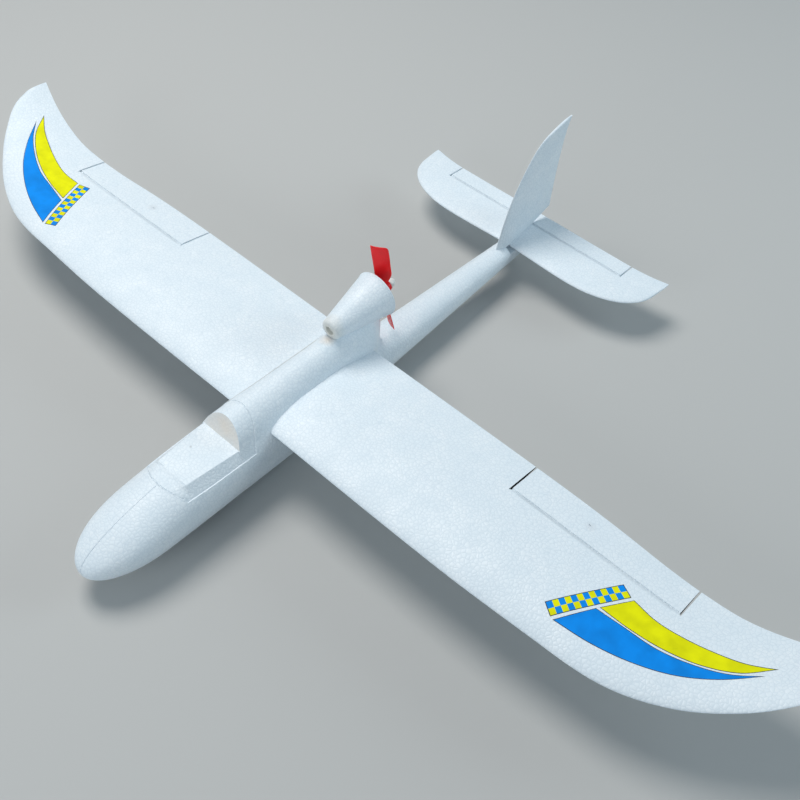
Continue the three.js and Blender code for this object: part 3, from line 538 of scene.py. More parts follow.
def plastic_material(name, color, roughness, grain_scale=900.0, strength=0.08, **sockets):
    """Moulded plastic: fine texture and faint tone changes."""
    material, tree, shader = principled(name, color, roughness, **sockets)
    where = place_socket(tree)
    grain = add(tree, "TexNoise", {"Vector": where, "Scale": grain_scale, "Detail": 4.0})
    clouds = add(tree, "TexNoise", {"Vector": where, "Scale": 60.0, "Detail": 2.0})
    darker = tuple(c * 0.82 for c in color)
    tone = blend_colors(tree, ramp(tree, clouds.outputs["Fac"], 0.35, 0.7), color, darker)
    gloss = ramp(tree, grain.outputs["Fac"], 0.3, 0.7, roughness * 0.85, roughness * 1.25)
    feed(tree, shader, tone, grain.outputs["Fac"], strength, 0.0001, gloss)
    return material


def metal_material(name, color, roughness, stretch):
    """Turned or drawn metal: fine lines along one way."""
    material, tree, shader = principled(name, color, roughness, 1.0)
    lines = add(tree, "TexNoise", {"Vector": place_socket(tree, stretch), "Scale": 1.0})
    gloss = ramp(tree, lines.outputs["Fac"], 0.3, 0.7, roughness * 0.7, roughness * 1.4)
    tone = blend_colors(tree, lines.outputs["Fac"], color, tuple(c * 0.7 for c in color))
    feed(tree, shader, tone, lines.outputs["Fac"], 0.1, 0.0001, gloss)
    return material


def plywood_material():
    material, tree, shader = principled("plywood", (0.6, 0.42, 0.24), 0.65)
    where = place_socket(tree, (900, 60, 900))
    grain = add(tree, "TexNoise", {"Vector": where, "Scale": 1.0, "Detail": 6.0})
    share = ramp(tree, grain.outputs["Fac"], 0.35, 0.65)
    tone = blend_colors(tree, share, (0.66, 0.47, 0.28), (0.42, 0.27, 0.14))
    feed(tree, shader, tone, grain.outputs["Fac"], 0.3, 0.0002)
    return material


def webbing_material():
    """Woven black strap: rows of crossing threads."""
    material, tree, shader = principled("black_webbing", (0.02, 0.02, 0.022), 0.85)
    threads = []
    for axis in ("X", "Y"):
        inputs = {"Vector": place_socket(tree), "Scale": 260.0, "Distortion": 0.3}
        threads.append(add(tree, "TexWave", inputs, bands_direction=axis).outputs["Fac"])
    weave = math_socket(tree, "MULTIPLY", *threads)
    tone = blend_colors(tree, weave, (0.012, 0.012, 0.014), (0.05, 0.05, 0.055))
    feed(tree, shader, tone, weave, 0.6, 0.0003)
    return material


POD_FRONT_POINT = frame_point(*thrust_point(0, POD_Y[0], 0))
POD_FOOT_POINT = frame_point(*thrust_point(0, POD_Y[0] - 3, -POD_RADIUS[0]))
DECK_DOT = frame_point(-12.2, -230.7, DECK_Z)
# Spots of painted shade on each aileron, above its horn.
HORN_SHADE_SPOTS = [frame_point(side * 337, -20, 5.5) for _, side in SIDES]

# Lines of painted shade along the hinge grooves of the elevator and both ailerons.
HINGE_SHADE_LINES = [
    (frame_point(ELEVATOR_HALF, ELEVATOR_HINGE[0], ELEVATOR_HINGE[1]),
     frame_point(-ELEVATOR_HALF, ELEVATOR_HINGE[0], ELEVATOR_HINGE[1])),
    *(tuple(frame_point(side * x, *AILERON_HINGE) for x in AILERON_X) for _, side in SIDES),
]

# Foam for wings, tail, hatch and pod: a warm stain at the pod's front, a dark dot on the deck,
# painted shade spots over the aileron horns and painted shade lines along the hinges.
foam = foam_material("moulded_foam", [
    (POD_FRONT_POINT, 0.023, (0.68, 0.62, 0.51), 0.75),
    (DECK_DOT, 0.0022, (0.35, 0.37, 0.38), 0.5),
    *((horn_shade_spot, 0.009, (0.55, 0.58, 0.62), 0.4) for horn_shade_spot in HORN_SHADE_SPOTS),
], [(*line, 0.0026, (0.5, 0.57, 0.62), 0.6) for line in HINGE_SHADE_LINES])
# Fuselage foam: a warm stain at the pod's foot, and a line of painted shadow along the hump's far
# side next to the wing.
hull_foam = foam_material(
    "hull_foam", [(POD_FOOT_POINT, 0.012, (0.70, 0.60, 0.5), 0.6)],
    [(frame_point(-19.2, -180, 23), frame_point(-12.2, -45, 31), 0.003, (0.42, 0.42, 0.39), 0.7)],
)
# Painted warm light: the deck's leaning wall is tinted beige, most strongly towards its middle.
painted_warm_light_foam = foam_material("painted_warm_light_foam", [
    (frame_point(0, DECK_Y[1], 20), 0.05, PAINTED_WARM_LIGHT, 0.95),
])
# Painted shade: near-black for the slit walls beside the ailerons, standing in for the shadow
# inside the slits.
painted_slit_shade = plastic_material("painted_slit_shade", (0.012, 0.013, 0.014), 0.9, 400.0, 0.4)
red_plastic = plastic_material(
    "red_plastic", (1.0, 0.015, 0.02), 0.22, 500.0, 0.03, Specular_IOR_Level=0.25,
    Subsurface_Weight=0.6, Subsurface_Scale=0.004, Subsurface_Radius=(1, 0.15, 0.1),
)
white_plastic = plastic_material("white_plastic", (0.82, 0.82, 0.79), 0.3)
blue_plastic = plastic_material("blue_plastic", (0.02, 0.1, 0.42), 0.28)
black_plastic = plastic_material("black_plastic", (0.025, 0.026, 0.028), 0.45)
battery_wrap = plastic_material("battery_wrap", (0.03, 0.08, 0.38), 0.25, 260.0, 0.2)
carbon_tube = plastic_material("carbon_tube", (0.02, 0.02, 0.023), 0.32, 2000.0, 0.15)
steel = metal_material("steel", (0.58, 0.59, 0.61), 0.28, (3000, 90, 3000))
aluminium = metal_material("aluminium", (0.74, 0.75, 0.77), 0.26, (300, 4000, 300))
copper = metal_material("copper_winding", (0.6, 0.27, 0.11), 0.35, (2500, 500, 2500))
plywood = plywood_material()
webbing = webbing_material()
FILM = {"roughness": 0.55, "grain_scale": 1200.0, "strength": 0.05, "Specular_IOR_Level": 0.12}
sticker_blue = plastic_material("sticker_blue", (0.0, 0.27, 0.87), **FILM)
sticker_yellow = plastic_material("sticker_yellow", (0.86, 0.85, 0.0), **FILM)
sticker_ink = plastic_material("sticker_ink", (0.035, 0.04, 0.045), **FILM)


def seat_foam(piece, node, body="airframe", material=foam):
    seat(piece, body, "white_foam", material, node)


# ---- fuselage shapes ----
hump_half_width = curve_through(
    (-201, 27), (-165, 25.5), (-110, 23.5), (-50, 22.5), (2, 25), (14, 17), (31, 4.5)
)
hump_top = curve_through((-201, 31), (-168, 33), (-140, 33), (-50, 36), (31, 42))
scoop_floor = curve_through(
    (SCOOP_FRONT_Y, 6.2), (-279, 5.4), (-274, 4.7), (-271, 4.4), (-267.5, 5.6), (DECK_Y[0], 7.2)
)


def body_size(y, inset=0.0):
    """Half width, top, bottom and squareness of the body's section."""
    start_y, start_z, start_radius = BOOM_START
    end_y, end_z, end_radius = BOOM_END
    taper = clamp((y - start_y) / (end_y - start_y))
    to_boom = smoothstep(y, -95, start_y)
    radius = lerp(start_radius, end_radius, taper)
    middle = lerp(start_z, end_z, taper)
    front = NOSE[0] + inset
    width = BODY_HALF_WIDTH * nosing((y - front) / 80, 2.1)
    top = NOSE[1] + (BODY_TOP - NOSE[1]) * nosing((y - front) / 206)
    bottom = NOSE[1] + (BELLY_Z - NOSE[1]) * nosing((y - front) / 172)
    return (
        lerp(width, radius, to_boom) - inset,
        lerp(top, middle + radius, to_boom) - inset,
        lerp(bottom, middle - radius, to_boom) + inset,
        lerp(2.25, 2, to_boom),
    )


def body_point(y, angle, hump=False, inset=0.0):
    """Point of the skin at an angle about the section's middle."""
    width, top, bottom, power = body_size(y, inset)
    middle, half = (top + bottom) / 2, (top - bottom) / 2
    c, s = math.cos(angle), math.sin(angle)
    reach = (abs(c / width) ** power + abs(s / half) ** power) ** (-1 / power)
    if hump and s > 0:
        arch_width = hump_half_width(y) - inset
        arch_half = (hump_top(y) - inset - middle) / 2
        arch = (2 * s) / arch_half / ((c / arch_width) ** 2 + (s / arch_half) ** 2)
        reach = (reach ** 9 + arch ** 9) ** (1 / 9)
    return (reach * c, y, middle + reach * s)


def body_ring(y, sides, hump=False, inset=0.0):
    step = 2 * math.pi / sides
    return [body_point(y, step * (i + 0.5), hump, inset) for i in range(sides)]


def fuselage_skin(name, sides=96):
    nose = [NOSE[0] + 0.4 + 80 * (i / 22) ** 2 for i in range(23)]
    plain = nose + spread(-300, HUMP_Y[0] - 0.1, 6)
    rings = [body_ring(y, sides) for y in plain]
    rings += [body_ring(y, sides, True) for y in spread(*HUMP_Y, 5)]
    rings += [body_ring(y, sides) for y in spread(HUMP_Y[1] + 0.1, BOOM_END[0] - 5, 12)]
    for turn in np.linspace(0.3, math.pi / 2, 5):
        y = BOOM_END[0] - 5 + 5 * math.sin(turn)
        rings.append(body_ring(y, sides, False, 4 * (1 - math.cos(turn))))
    return loft(name, rings)


def hatch_front(x):
    return HATCH_FRONT_Y + x * x / HATCH_BOW


def hatch_region(name, grow, floor):
    """What the hatch takes up: a sill, a bowed front and a rear face that leans back."""
    rear = HATCH_REAR_Y + grow
    side = [(-330, floor), (rear, floor), (rear + HATCH_REAR_LEAN * (FAR - SILL_Z), FAR)]
    side.append((-330, FAR))
    region = prism(name, side, 0, -FAR, FAR)
    bow = [(x, hatch_front(x) - grow) for x in np.linspace(-FAR, FAR, 61)]
    return keep(region, prism("plan", bow + [(FAR, -150), (-FAR, -150)], 2, SILL_Z - 5, FAR + 1))


def hatch_front_line():
    """Where the hatch's front meets the skin, from sill to sill."""
    line = []
    for x in np.linspace(-36, 36, 73):
        y = hatch_front(x)
        width, top, bottom, power = body_size(y)
        middle, half = (top + bottom) / 2, (top - bottom) / 2
        z = middle + half * (1 - abs(x / width) ** power) ** (1 / power)
        if z > SILL_Z - 1:
            line.append((x, y, z))
    return line


def hatch_rear_line():
    """Where the hatch's rear face meets the hump, from sill to sill."""
    line = []
    for angle in np.linspace(math.radians(32), math.radians(148), 90):
        y = HATCH_REAR_Y
        for _ in range(6):
            x, _, z = body_point(y, angle, True)
            y = HATCH_REAR_Y + HATCH_REAR_LEAN * (z - SILL_Z)
        if z > SILL_Z - 1:
            line.append((x, y, z))
    return line


def seam_grooves():
    """Tools that round the edges along the hatch's joint lines."""
    return [
        tube("front_groove", hatch_front_line(), 0.75, 10),
        tube("rear_groove", hatch_rear_line(), 0.7, 10),
    ]


def magnet_box(name, foot, top, grow=0.0):
    half = MAGNET_HALF_WIDTH + grow
    return box(name, (-half, half), (MAGNET_Y[0] - grow, MAGNET_Y[1] + grow), (foot, top))


def equipment_bay():
    """Room inside the foam, ahead of the tunnel that the elevator rod runs through."""
    ys = [NOSE[0] + 9 + 70 * (i / 8) ** 2 for i in range(9)] + spread(-290, 20, 15)
    bay = loft("bay", [body_ring(y, 48, False, SHELL) for y in ys])
    bulkhead = box("bulkhead", (-FAR, FAR), (BULKHEAD_Y, 40), (-14, FAR))
    return cut(bay, bulkhead, box("bay_end", (-FAR, FAR), (-30, 330), (-80, FAR)))


def fuselage_cutters():
    tail_floor = TAIL_Z - TAIL_THICKNESS / 2 - 0.7
    tray_half = TRAY_HALF_WIDTH + GAP
    return [
        equipment_bay(),
        tube("tunnel", [(0, -40, BOOM_START[1]), (0, 314, BOOM_END[1])], TUNNEL_RADIUS, 24),
        box("saddle", (-40, 40), (262, 330), (tail_floor, 0)),
        box(
            "tray_seat", (-tray_half, tray_half), (TRAY_Y[0] - GAP, TRAY_Y[1] + GAP),
            (TRAY_TOP - TRAY_THICKNESS - GAP, TRAY_TOP + GAP),
        ),
        box("strap_seat", (-20, 20), (STRAP_Y[0] - 1, STRAP_Y[1] + 1), (TRAY_TOP - 4, TRAY_TOP)),
        box(
            "servo_seat", (SERVO_SEAT_X - GAP, 0),
            (ELEVATOR_SHAFT[0] - SERVO_AHEAD - GAP, ELEVATOR_SHAFT[0] + SERVO_BEHIND + GAP),
            (ELEVATOR_SHAFT[1] - SERVO_HALF_WIDTH - GAP, ELEVATOR_SHAFT[1] + 10),
        ),
        magnet_box("magnet_seat", SILL_Z - 3 * GAP - MAGNET_HEIGHT, 0, GAP),
        hatch_region("hatch_room", GAP, SILL_Z - GAP),
        pod_skin("pod_seat", SNUG),
        wing_skin("left_slot", 1, [WING_ROOT_X - SNUG, FAR], SNUG),
        wing_skin("right_slot", -1, [WING_ROOT_X - SNUG, FAR], SNUG),
        tube("spar_hole", [(-20, *SPAR), (20, *SPAR)], SPAR_RADIUS + GAP, 24),
        *seam_grooves(),
        tube("nose_seam", nose_seam_line(), 0.42, 8),
    ]


def nose_seam_line():
    ys = [NOSE[0] + 0.6 + 100 * (i / 30) ** 2 for i in range(31)]
    return [(0, y, body_size(y)[1]) for y in ys if y < HATCH_FRONT_Y - 1]


def make_fuselage():
    whole = cut(fuselage_skin("fuselage_left"), *fuselage_cutters())
    other = copy_of(whole, "fuselage_right")
    for piece, (side, sign) in ((whole, SIDES[0]), (other, SIDES[1])):
        xs = sorted((sign * SNUG, sign * 80))
        keep(piece, box("half", xs, (-420, 340), (-90, 90)))
        piece.name = f"foam_fuselage_{side}"
        seat_foam(piece, f"fuselage_{side}", material=hull_foam)


def deck_block():
    """Flat-topped block under the deck, wider than the rounded body at its top edges."""
    foot = SILL_Z - 1
    sections = [
        (-271, 17, 1.5, 32), (DECK_Y[0], 21.5, DECK_Z, 33), (DECK_Y[1], 26.6, DECK_Z, 35),
        (HATCH_REAR_Y, 24.5, DECK_Z - 1, 34.6),
    ]
    rings = []
    for y, half, height, bottom in sections:
        top = half / HATCH_INSET
        rings.append([(bottom, y, foot), (top, y, height), (-top, y, height), (-bottom, y, foot)])
    return loft("deck_block", rings)


def above_deck():
    """Tools that cut the deck, its leaning wall and the scoop in front of it."""
    front, rear = DECK_Y
    deck = [(front - 1, DECK_Z), (rear, DECK_Z), (rear + WALL_LEAN * (FAR - DECK_Z), FAR)]
    deck.append((front - 1, FAR))
    scoop = [(y, scoop_floor(y)) for y in spread(SCOOP_FRONT_Y, front, 0.8)]
    scoop += [(front, FAR), (SCOOP_FRONT_Y, FAR)]
    return [prism("over_deck", deck, 0, -FAR, FAR), prism("scoop", scoop, 0, -FAR, FAR)]


def make_hatch():
    hatch = unite(fuselage_skin("foam_hatch"), deck_block())
    hatch.data.transform(Matrix.Scale(HATCH_INSET, 4, (1, 0, 0)))
    keep(hatch, hatch_region("region", 0.25, SILL_Z - GAP + SNUG))
    magnet = magnet_box("hatch_magnet_seat", SILL_Z - 2, SILL_Z + 2 * GAP + MAGNET_HEIGHT, GAP)
    cut(hatch, *above_deck(), magnet, *seam_grooves())
    seat_foam(hatch, "canopy_hatch", "hatch", [foam, painted_warm_light_foam])
    # Faces on the leaning wall's plane take the second material, the painted warm light.
    wall = Vector((0, -1, WALL_LEAN)).normalized()
    wall_foot = Vector(frame_point(0, DECK_Y[1], DECK_Z))
    for face in hatch.data.polygons:
        on_wall = abs((face.center - wall_foot).dot(wall)) < WALL_REACH
        if on_wall and face.normal.dot(wall) > 0.99:
            face.material_index = 1


# ---- wing and tail shapes ----
wing_leading = curve_through(
    (0, -160), (250, -160), (360, -155), (440, -148), (500, -125), (550, -89), (582, -54),
    (594, -34), (HALF_SPAN, -14),
)
wing_trailing = curve_through(
    (0, 0), (290, 0), (360, -1.5), (420, -5), (460, -6.3), (500, -5.9), (540, 0), (570, 7),
    (HALF_SPAN, 16.5),
)
tail_leading = curve_through(
    (0, 270), (85, 266.5), (120, 268.5), (150, 277), (173, 292), (186, 314),
    (TAIL_HALF_SPAN, 344),
)
tail_trailing = curve_through((0, 347), (138, 347), (165, 349), (TAIL_HALF_SPAN, 353.6))
fin_leading = curve_through(
    (-30, 247), (-12, 250.6), (20, 259), (50, 271), (87, 294), (108, 318), (117, 352),
    (118.4, 362),
)
fin_trailing = curve_through(
    (-30, 300), (-21.9, 321.5), (-11, 354.7), (-10, 354.8), (6, 354.6), (59, 357.3),
    (102, 363), (118.4, 369),
)


def foil_height(t, side, chord, thickness, camber, edge):
    """Height of a section's upper (side = 1) or lower (-1) line at a share t of the chord."""
    bow = 0.2969 * math.sqrt(t) - 0.126 * t - 0.3516 * t * t
    half = 5 * thickness * (bow + 0.2843 * t ** 3 - 0.1036 * t ** 4) + edge * t / 2 / chord
    crest = 0.4
    if t < crest:
        arch = camber / crest ** 2 * (2 * crest * t - t * t)
    else:
        arch = camber / (1 - crest) ** 2 * (1 - 2 * crest + 2 * crest * t - t * t)
    return chord * (arch + side * half)


def foil_ring(leading, trailing, thickness, camber, place, edge, steps=36):
    chord = trailing - leading
    shares = [(1 + math.cos(math.pi * i / steps)) / 2 for i in range(steps + 1)]
    ring = []
    for side, ts in ((1, shares), (-1, shares[-2::-1])):
        for t in ts:
            height = foil_height(t, side, chord, thickness, camber, edge)
            ring.append(place(leading + chord * t, height))
    return ring


def wing_rise(x):
    t = clamp((x - TIP_RISE_START) / (HALF_SPAN - TIP_RISE_START))
    return TIP_RISE * t ** 4 - 2.2 * smoothstep(x, 200, 450)


def wing_thickness(x, grow=0.0):
    return WING_THICKNESS * lerp(1, 0.6, smoothstep(x, 420, HALF_SPAN)) + 2 * grow / CHORD


def wing_lift(x, y):
    """How far a point of the wing is raised by the bent tip and the lifted leading edge."""
    return wing_rise(x) + WING_LE_RISE * clamp((wing_trailing(x) - y) / CHORD)


def wing_surface(x, y, side=1):
    """Height of the wing's upper skin (side = 1) or lower skin (-1)."""
    leading = wing_leading(x)
    chord = wing_trailing(x) - leading
    t = clamp((y - leading) / chord)
    height = foil_height(t, side, chord, wing_thickness(x), WING_CAMBER, 1.6)
    return height + wing_lift(x, y)


def wing_skin(name, sign, xs, grow=0.0):
    rings = []
    for x in xs:
        def place(y, z, x=x):
            return (sign * x, y, z + wing_lift(x, y))

        leading, trailing = wing_leading(x) - grow, wing_trailing(x) + grow
        edge = 1.6 + 2 * grow
        thickness = wing_thickness(x, grow)
        rings.append(foil_ring(leading, trailing, thickness, WING_CAMBER, place, edge))
    return loft(name, rings)


def ordered(sign, low, high):
    return (low, high) if sign > 0 else (-high, -low)


def surface_side(hinge, rear, room):
    """Side view of a control surface, or with room > 0 of the space cut for it."""
    axis_y, axis_z = hinge
    front = axis_y + HINGE_GAP - room
    foot = axis_z - BEVEL_DEPTH
    bevel = 0 if room > 0 else BEVEL_DEPTH * math.tan(BEVEL)
    return [
        (front, axis_z + BEVEL_DEPTH), (front, axis_z), (front + bevel, foot), (rear, foot),
        (rear, axis_z + BEVEL_DEPTH),
    ]


def hinge_groove(hinge, xs, top_at):
    """Tool for the flat channel that the moulded hinge line makes in the upper skin."""
    y, half, lean = hinge[0], GROOVE_HALF_WIDTH, GROOVE_LEAN
    edges = ((-half, 0.4), (lean - half, -GROOVE_DEPTH), (half - lean, -GROOVE_DEPTH), (half, 0.4))
    return loft("groove", [
        [(x, y + dy, top_at(abs(x), y + dy) + dz) for dy, dz in edges] for x in xs
    ])


def hinge_skin(name, hinge, xs, top_at):
    """Strip of the flexible hinge in the channel's floor, from the fixed part to the moving
    surface; it is drawn fixed in the frame and does not bend with the surface.
    """
    reach = GROOVE_HALF_WIDTH - GROOVE_LEAN - SNUG
    ys = spread(hinge[0] - reach, hinge[0] + reach, 0.25)
    rings = []
    for x in xs:
        upper = [(x, y, top_at(abs(x), y) - GROOVE_DEPTH - SNUG / 2) for y in ys]
        lower = [(x, y, z - SKIN_THICKNESS) for _, y, z in reversed(upper)]
        rings.append(upper + lower)
    piece = loft(name, rings)
    finish_piece(piece, foam)
    start, end = (frame_point(0, hinge[0] + dy, hinge[1]) for dy in (-reach, reach))
    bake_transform(piece)
    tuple(start)
    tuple(end)


def shade_slits(piece, *planes):
    """Paints near-black shade on the faces at the slits beside a control surface, in place of the
    shadow deep in the slits.
    """
    piece.data.materials.append(painted_slit_shade)
    for face in piece.data.polygons:
        near = min(abs(abs(face.center.x) * 1000 - x) for x in planes)
        if near < SNUG and abs(face.normal.x) > 0.9:
            face.material_index = 1


WING_XS = spread(WING_ROOT_X, 240, 24) + spread(AILERON_X[0] - 3, 440, 12)
WING_XS += spread(448, 580, 6) + spread(583, 598, 2.5) + [HALF_SPAN]


def make_wing(side, sign):
    x, shaft = AILERON_HORN_X, AILERON_SHAFT[0]
    room = ordered(sign, AILERON_X[0] - SLIT, AILERON_X[1] + SLIT)
    groove_xs = [sign * x for x in spread(AILERON_X[0] - SLIT, AILERON_X[1] + SLIT, 12)]
    servo_ys = (shaft - SERVO_AHEAD - GAP, shaft + SERVO_BEHIND + GAP)
    wing = cut(
        wing_skin(f"foam_wing_{side}", sign, WING_XS),
        prism("room", surface_side(AILERON_HINGE, 30, 2 * HINGE_GAP), 0, *room),
        hinge_groove(AILERON_HINGE, groove_xs, wing_surface),
        tube("bore", [(0, *SPAR), (sign * (SPAR_HALF + 1), *SPAR)], SPAR_RADIUS + GAP, 24),
        box("servo", ordered(sign, x - SERVO_DEPTH - 2.7, x - 0.7), servo_ys, (-20, SWING_ROOF_Z)),
        box(
            "swing", ordered(sign, x - 1.4, x + 4),
            (shaft - SWING_REACH, shaft + SWING_REACH), (-20, SWING_ROOF_Z),
        ),
    )
    seat_foam(wing, f"wing_{side}")
    if side == SHADED_SLIT_SIDE:
        shade_slits(wing, AILERON_X[0] - SLIT, AILERON_X[1] + SLIT)


def make_aileron(side, sign):
    x = AILERON_HORN_X
    span = ordered(sign, *AILERON_X)
    aileron = wing_skin(f"foam_aileron_{side}", sign, spread(AILERON_X[0] - 4, AILERON_X[1] + 4, 6))
    keep(aileron, prism("region", surface_side(AILERON_HINGE, 30, 0), 0, *span))
    foot = box("foot", ordered(sign, x - 0.3, x + 2.3), (AILERON_HINGE[0], -20), (-20, 3.3))
    xs = [sign * value for value in spread(*AILERON_X, 12)]
    cut(aileron, foot, hinge_groove(AILERON_HINGE, xs, wing_surface))
    body = f"aileron_surface_{side}"
    seat_foam(aileron, f"aileron_{side}", body)
    if side == SHADED_SLIT_SIDE:
        shade_slits(aileron, *AILERON_X)
    hinge_skin(f"aileron_hinge_skin_{side}", AILERON_HINGE, xs, wing_surface)


def tail_surface(x, y):
    leading = tail_leading(x)
    chord = tail_trailing(x) - leading
    t = clamp((y - leading) / chord)
    return TAIL_Z + foil_height(t, 1, chord, TAIL_THICKNESS / TAIL_CHORD, 0, 1.4)


def tail_skin(name, xs, grow=0.0):
    rings = []
    for x in xs:
        def place(y, z, x=x):
            return (x, y, TAIL_Z + z)

        leading, trailing = tail_leading(abs(x)) - grow, tail_trailing(abs(x)) + grow
        thickness = (TAIL_THICKNESS + 2 * grow) / TAIL_CHORD
        rings.append(foil_ring(leading, trailing, thickness, 0, place, 1.4 + 2 * grow))
    return loft(name, rings)


TAIL_XS = spread(0, 110, 12) + spread(116, 180, 5) + spread(182, TAIL_HALF_SPAN, 1.5)
TAIL_XS = [-x for x in reversed(TAIL_XS[1:])] + TAIL_XS


def make_tailplane():
    reach = ELEVATOR_HALF + SLIT
    stabiliser = cut(
        tail_skin("foam_stabiliser", TAIL_XS),
        prism("room", surface_side(ELEVATOR_HINGE, 400, 2 * HINGE_GAP), 0, -reach, reach),
        hinge_groove(ELEVATOR_HINGE, spread(-reach, reach, 12), tail_surface),
        box(
            "tab_slot", (-FIN_TAB_X - GAP, FIN_TAB_X + GAP),
            (FIN_TAB_Y[0] - GAP, FIN_TAB_Y[1] + GAP), (-40, 0),
        ),
    )
    seat_foam(stabiliser, "stabiliser")
    elevator = tail_skin("foam_elevator", spread(-ELEVATOR_HALF - 4, ELEVATOR_HALF + 4, 8))
    span = (-ELEVATOR_HALF, ELEVATOR_HALF)
    keep(elevator, prism("region", surface_side(ELEVATOR_HINGE, 400, 0), 0, *span))
    foot = box("foot", (-1.6, 0.6), (ELEVATOR_HINGE[0], 340), (-40, -24.6))
    cut(elevator, foot, hinge_groove(ELEVATOR_HINGE, spread(*span, 12), tail_surface))
    seat_foam(elevator, "elevator", "elevator_surface")
    hinge_skin(
        "elevator_hinge_skin", ELEVATOR_HINGE, spread(*span, 12), tail_surface,
    )


def make_fin():
    zs = [-30, -26, -21.9, -17, -11.2] + spread(-9, 90, 5) + spread(93, 117, 2.5) + [118.4]
    rings = []
    for z in zs:
        def place(y, x, z=z):
            return (x, y, z)

        leading, trailing = fin_leading(z), fin_trailing(z)
        thick = lerp(9.5, 3.2, clamp((z + 30) / 148)) / (trailing - leading)
        rings.append(foil_ring(leading, trailing, min(thick, 0.16), 0, place, 1.6))
    fin = cut(
        loft("foam_fin", rings),
        tail_skin("over_tail", TAIL_XS[5:-5], SNUG),
        fuselage_skin("over_boom", 72),
    )
    unite(fin, box("tab", (-FIN_TAB_X, FIN_TAB_X), FIN_TAB_Y, (-29.6, -15)))
    seat_foam(fin, "fin")


# ---- pod, skid and drive ----
def pod_radius(y):
    return lerp(*POD_RADIUS, (y - POD_Y[0]) / (POD_Y[1] - POD_Y[0]))


def quarter(radius, y, across, along, steps=8):
    """Rounded profile corner from (radius, y) to (radius + across, y + along)."""
    turns = np.linspace(0, math.pi / 2, steps + 1)
    return [(radius + across * math.sin(a), y + along * (1 - math.cos(a))) for a in turns]


def pod_profile(grow):
    front, rear = POD_Y
    lip = 4
    profile = [(0, front - grow)]
    start = pod_radius(front) - lip
    profile += quarter(start + grow, front - grow, pod_radius(front + lip) - start, lip + grow)
    profile += [(pod_radius(y) + grow, y) for y in spread(front + lip + 4, rear - 3, 6)]
    corner = quarter(pod_radius(rear) - 2 + grow, rear + grow, 2, -2.2 - grow, 5)
    return profile + corner[::-1] + [(0, rear + grow)]


def pod_skin(name, grow):
    return wheel(name, pod_profile(grow))


def make_pod():
    front, rear = POD_Y
    inner = pod_radius(POD_HOLLOW_Y) - POD_WALL
    mouth = pod_radius(rear) - POD_WALL
    hollow = [
        (0, POD_HOLLOW_Y), (inner - 2, POD_HOLLOW_Y), (inner, POD_HOLLOW_Y + 2),
        (mouth, rear - 0.8), (mouth + 0.8, rear + 0.1), (mouth + 0.8, rear + 6), (0, rear + 6),
    ]
    floor = front + DIMPLE_DEPTH
    lip = 1.2
    dimple = [(0, front - 3), (DIMPLE_RADIUS + lip, front - 3)]
    dimple += quarter(DIMPLE_RADIUS + lip, front - 0.02, -lip, lip, 6)
    dimple += [(DIMPLE_RADIUS - 0.4, floor - 0.8), (DIMPLE_RADIUS - 1.4, floor - 0.1), (0, floor)]
    pod = cut(pod_skin("foam_motor_pod", 0), wheel("hollow", hollow), wheel("dimple", dimple, 48))
    seat_foam(pod, "motor_pod")


def stadium(front, rear, half_width, steps=16):
    ring = []
    for y, start in ((rear - half_width * 1.6, 0), (front + half_width * 1.6, math.pi)):
        for i in range(2 * steps + 1):
            angle = start + math.pi * i / (2 * steps)
            ring.append((half_width * math.cos(angle), y + 1.6 * half_width * math.sin(angle)))
    return ring


def make_skid():
    levels = [(-56, 0.0, 0.0), (-67, 0.0, 0.0), (-69.5, 0.3, 0.8), (-71.7, 1.0, 2.4)]
    levels += [(-73.5, 1.9, 4.6), (-74.9, 3.2, 7.6), (SKID_SOLE_Z, 5, 12)]
    rings = []
    for z, narrower, shorter in levels:
        ring = stadium(SKID_Y[0] + shorter, SKID_Y[1] - shorter, SKID_HALF_WIDTH - narrower)
        rings.append([(x, y, z) for x, y in ring])
    skid = cut(
        loft("foam_belly_skid", rings), fuselage_skin("belly", 72),
        box("above", (-FAR, FAR), (-300, 0), (-FAR, 0)),
    )
    seat_foam(skid, "belly_skid")


half_chord = curve_through((4, 3.2), (9, 6.4), (15, 8.8), (30, 9.4), (44, 10.1), (57, 10.5))


def blade(name, turn):
    """Broad paddle with a square tip, rounded at its rear corner; it turns flatter outwards."""
    rings = []
    steps = 40
    for radius in spread(3.5, 52, 2) + spread(52.6, 56.6, 0.5) + [56.9, PROP_RADIUS]:
        pitch = math.atan2(BLADE_PITCH, radius + 4)
        tip = clamp((PROP_RADIUS - radius) / 0.6)
        thick = lerp(2.6, 1, radius / PROP_RADIUS) * lerp(0.4, 1, math.sqrt(tip))
        corner = clamp((radius - PROP_RADIUS + BLADE_CORNER) / BLADE_CORNER)
        rear = half_chord(radius) - BLADE_CORNER * (1 - math.sqrt(1 - corner * corner))
        ring = []
        for i in range(steps):
            angle = 2 * math.pi * i / steps
            share = math.cos(angle)
            along = lerp(-half_chord(radius), rear, (1 + share) / 2)
            across = thick / 2 * math.sin(angle) - BLADE_CAMBER * (1 - share * share)
            flat = along * math.cos(pitch) - across * math.sin(pitch)
            back = along * math.sin(pitch) + across * math.cos(pitch)
            x = flat * math.cos(turn) - radius * math.sin(turn)
            above = flat * math.sin(turn) + radius * math.cos(turn)
            ring.append(thrust_point(x, PROP_Y + back, above))
        rings.append(ring)
    return loft(name, rings)


def thrust_bar(name, low, high, radius, sides=32, angle=0.0, distance=0.0):
    """Round bar beside the thrust line, at an angle and a distance from it."""
    x, above = distance * math.cos(angle), distance * math.sin(angle)
    return tube(name, [thrust_point(x, y, above) for y in (low, high)], radius, sides)


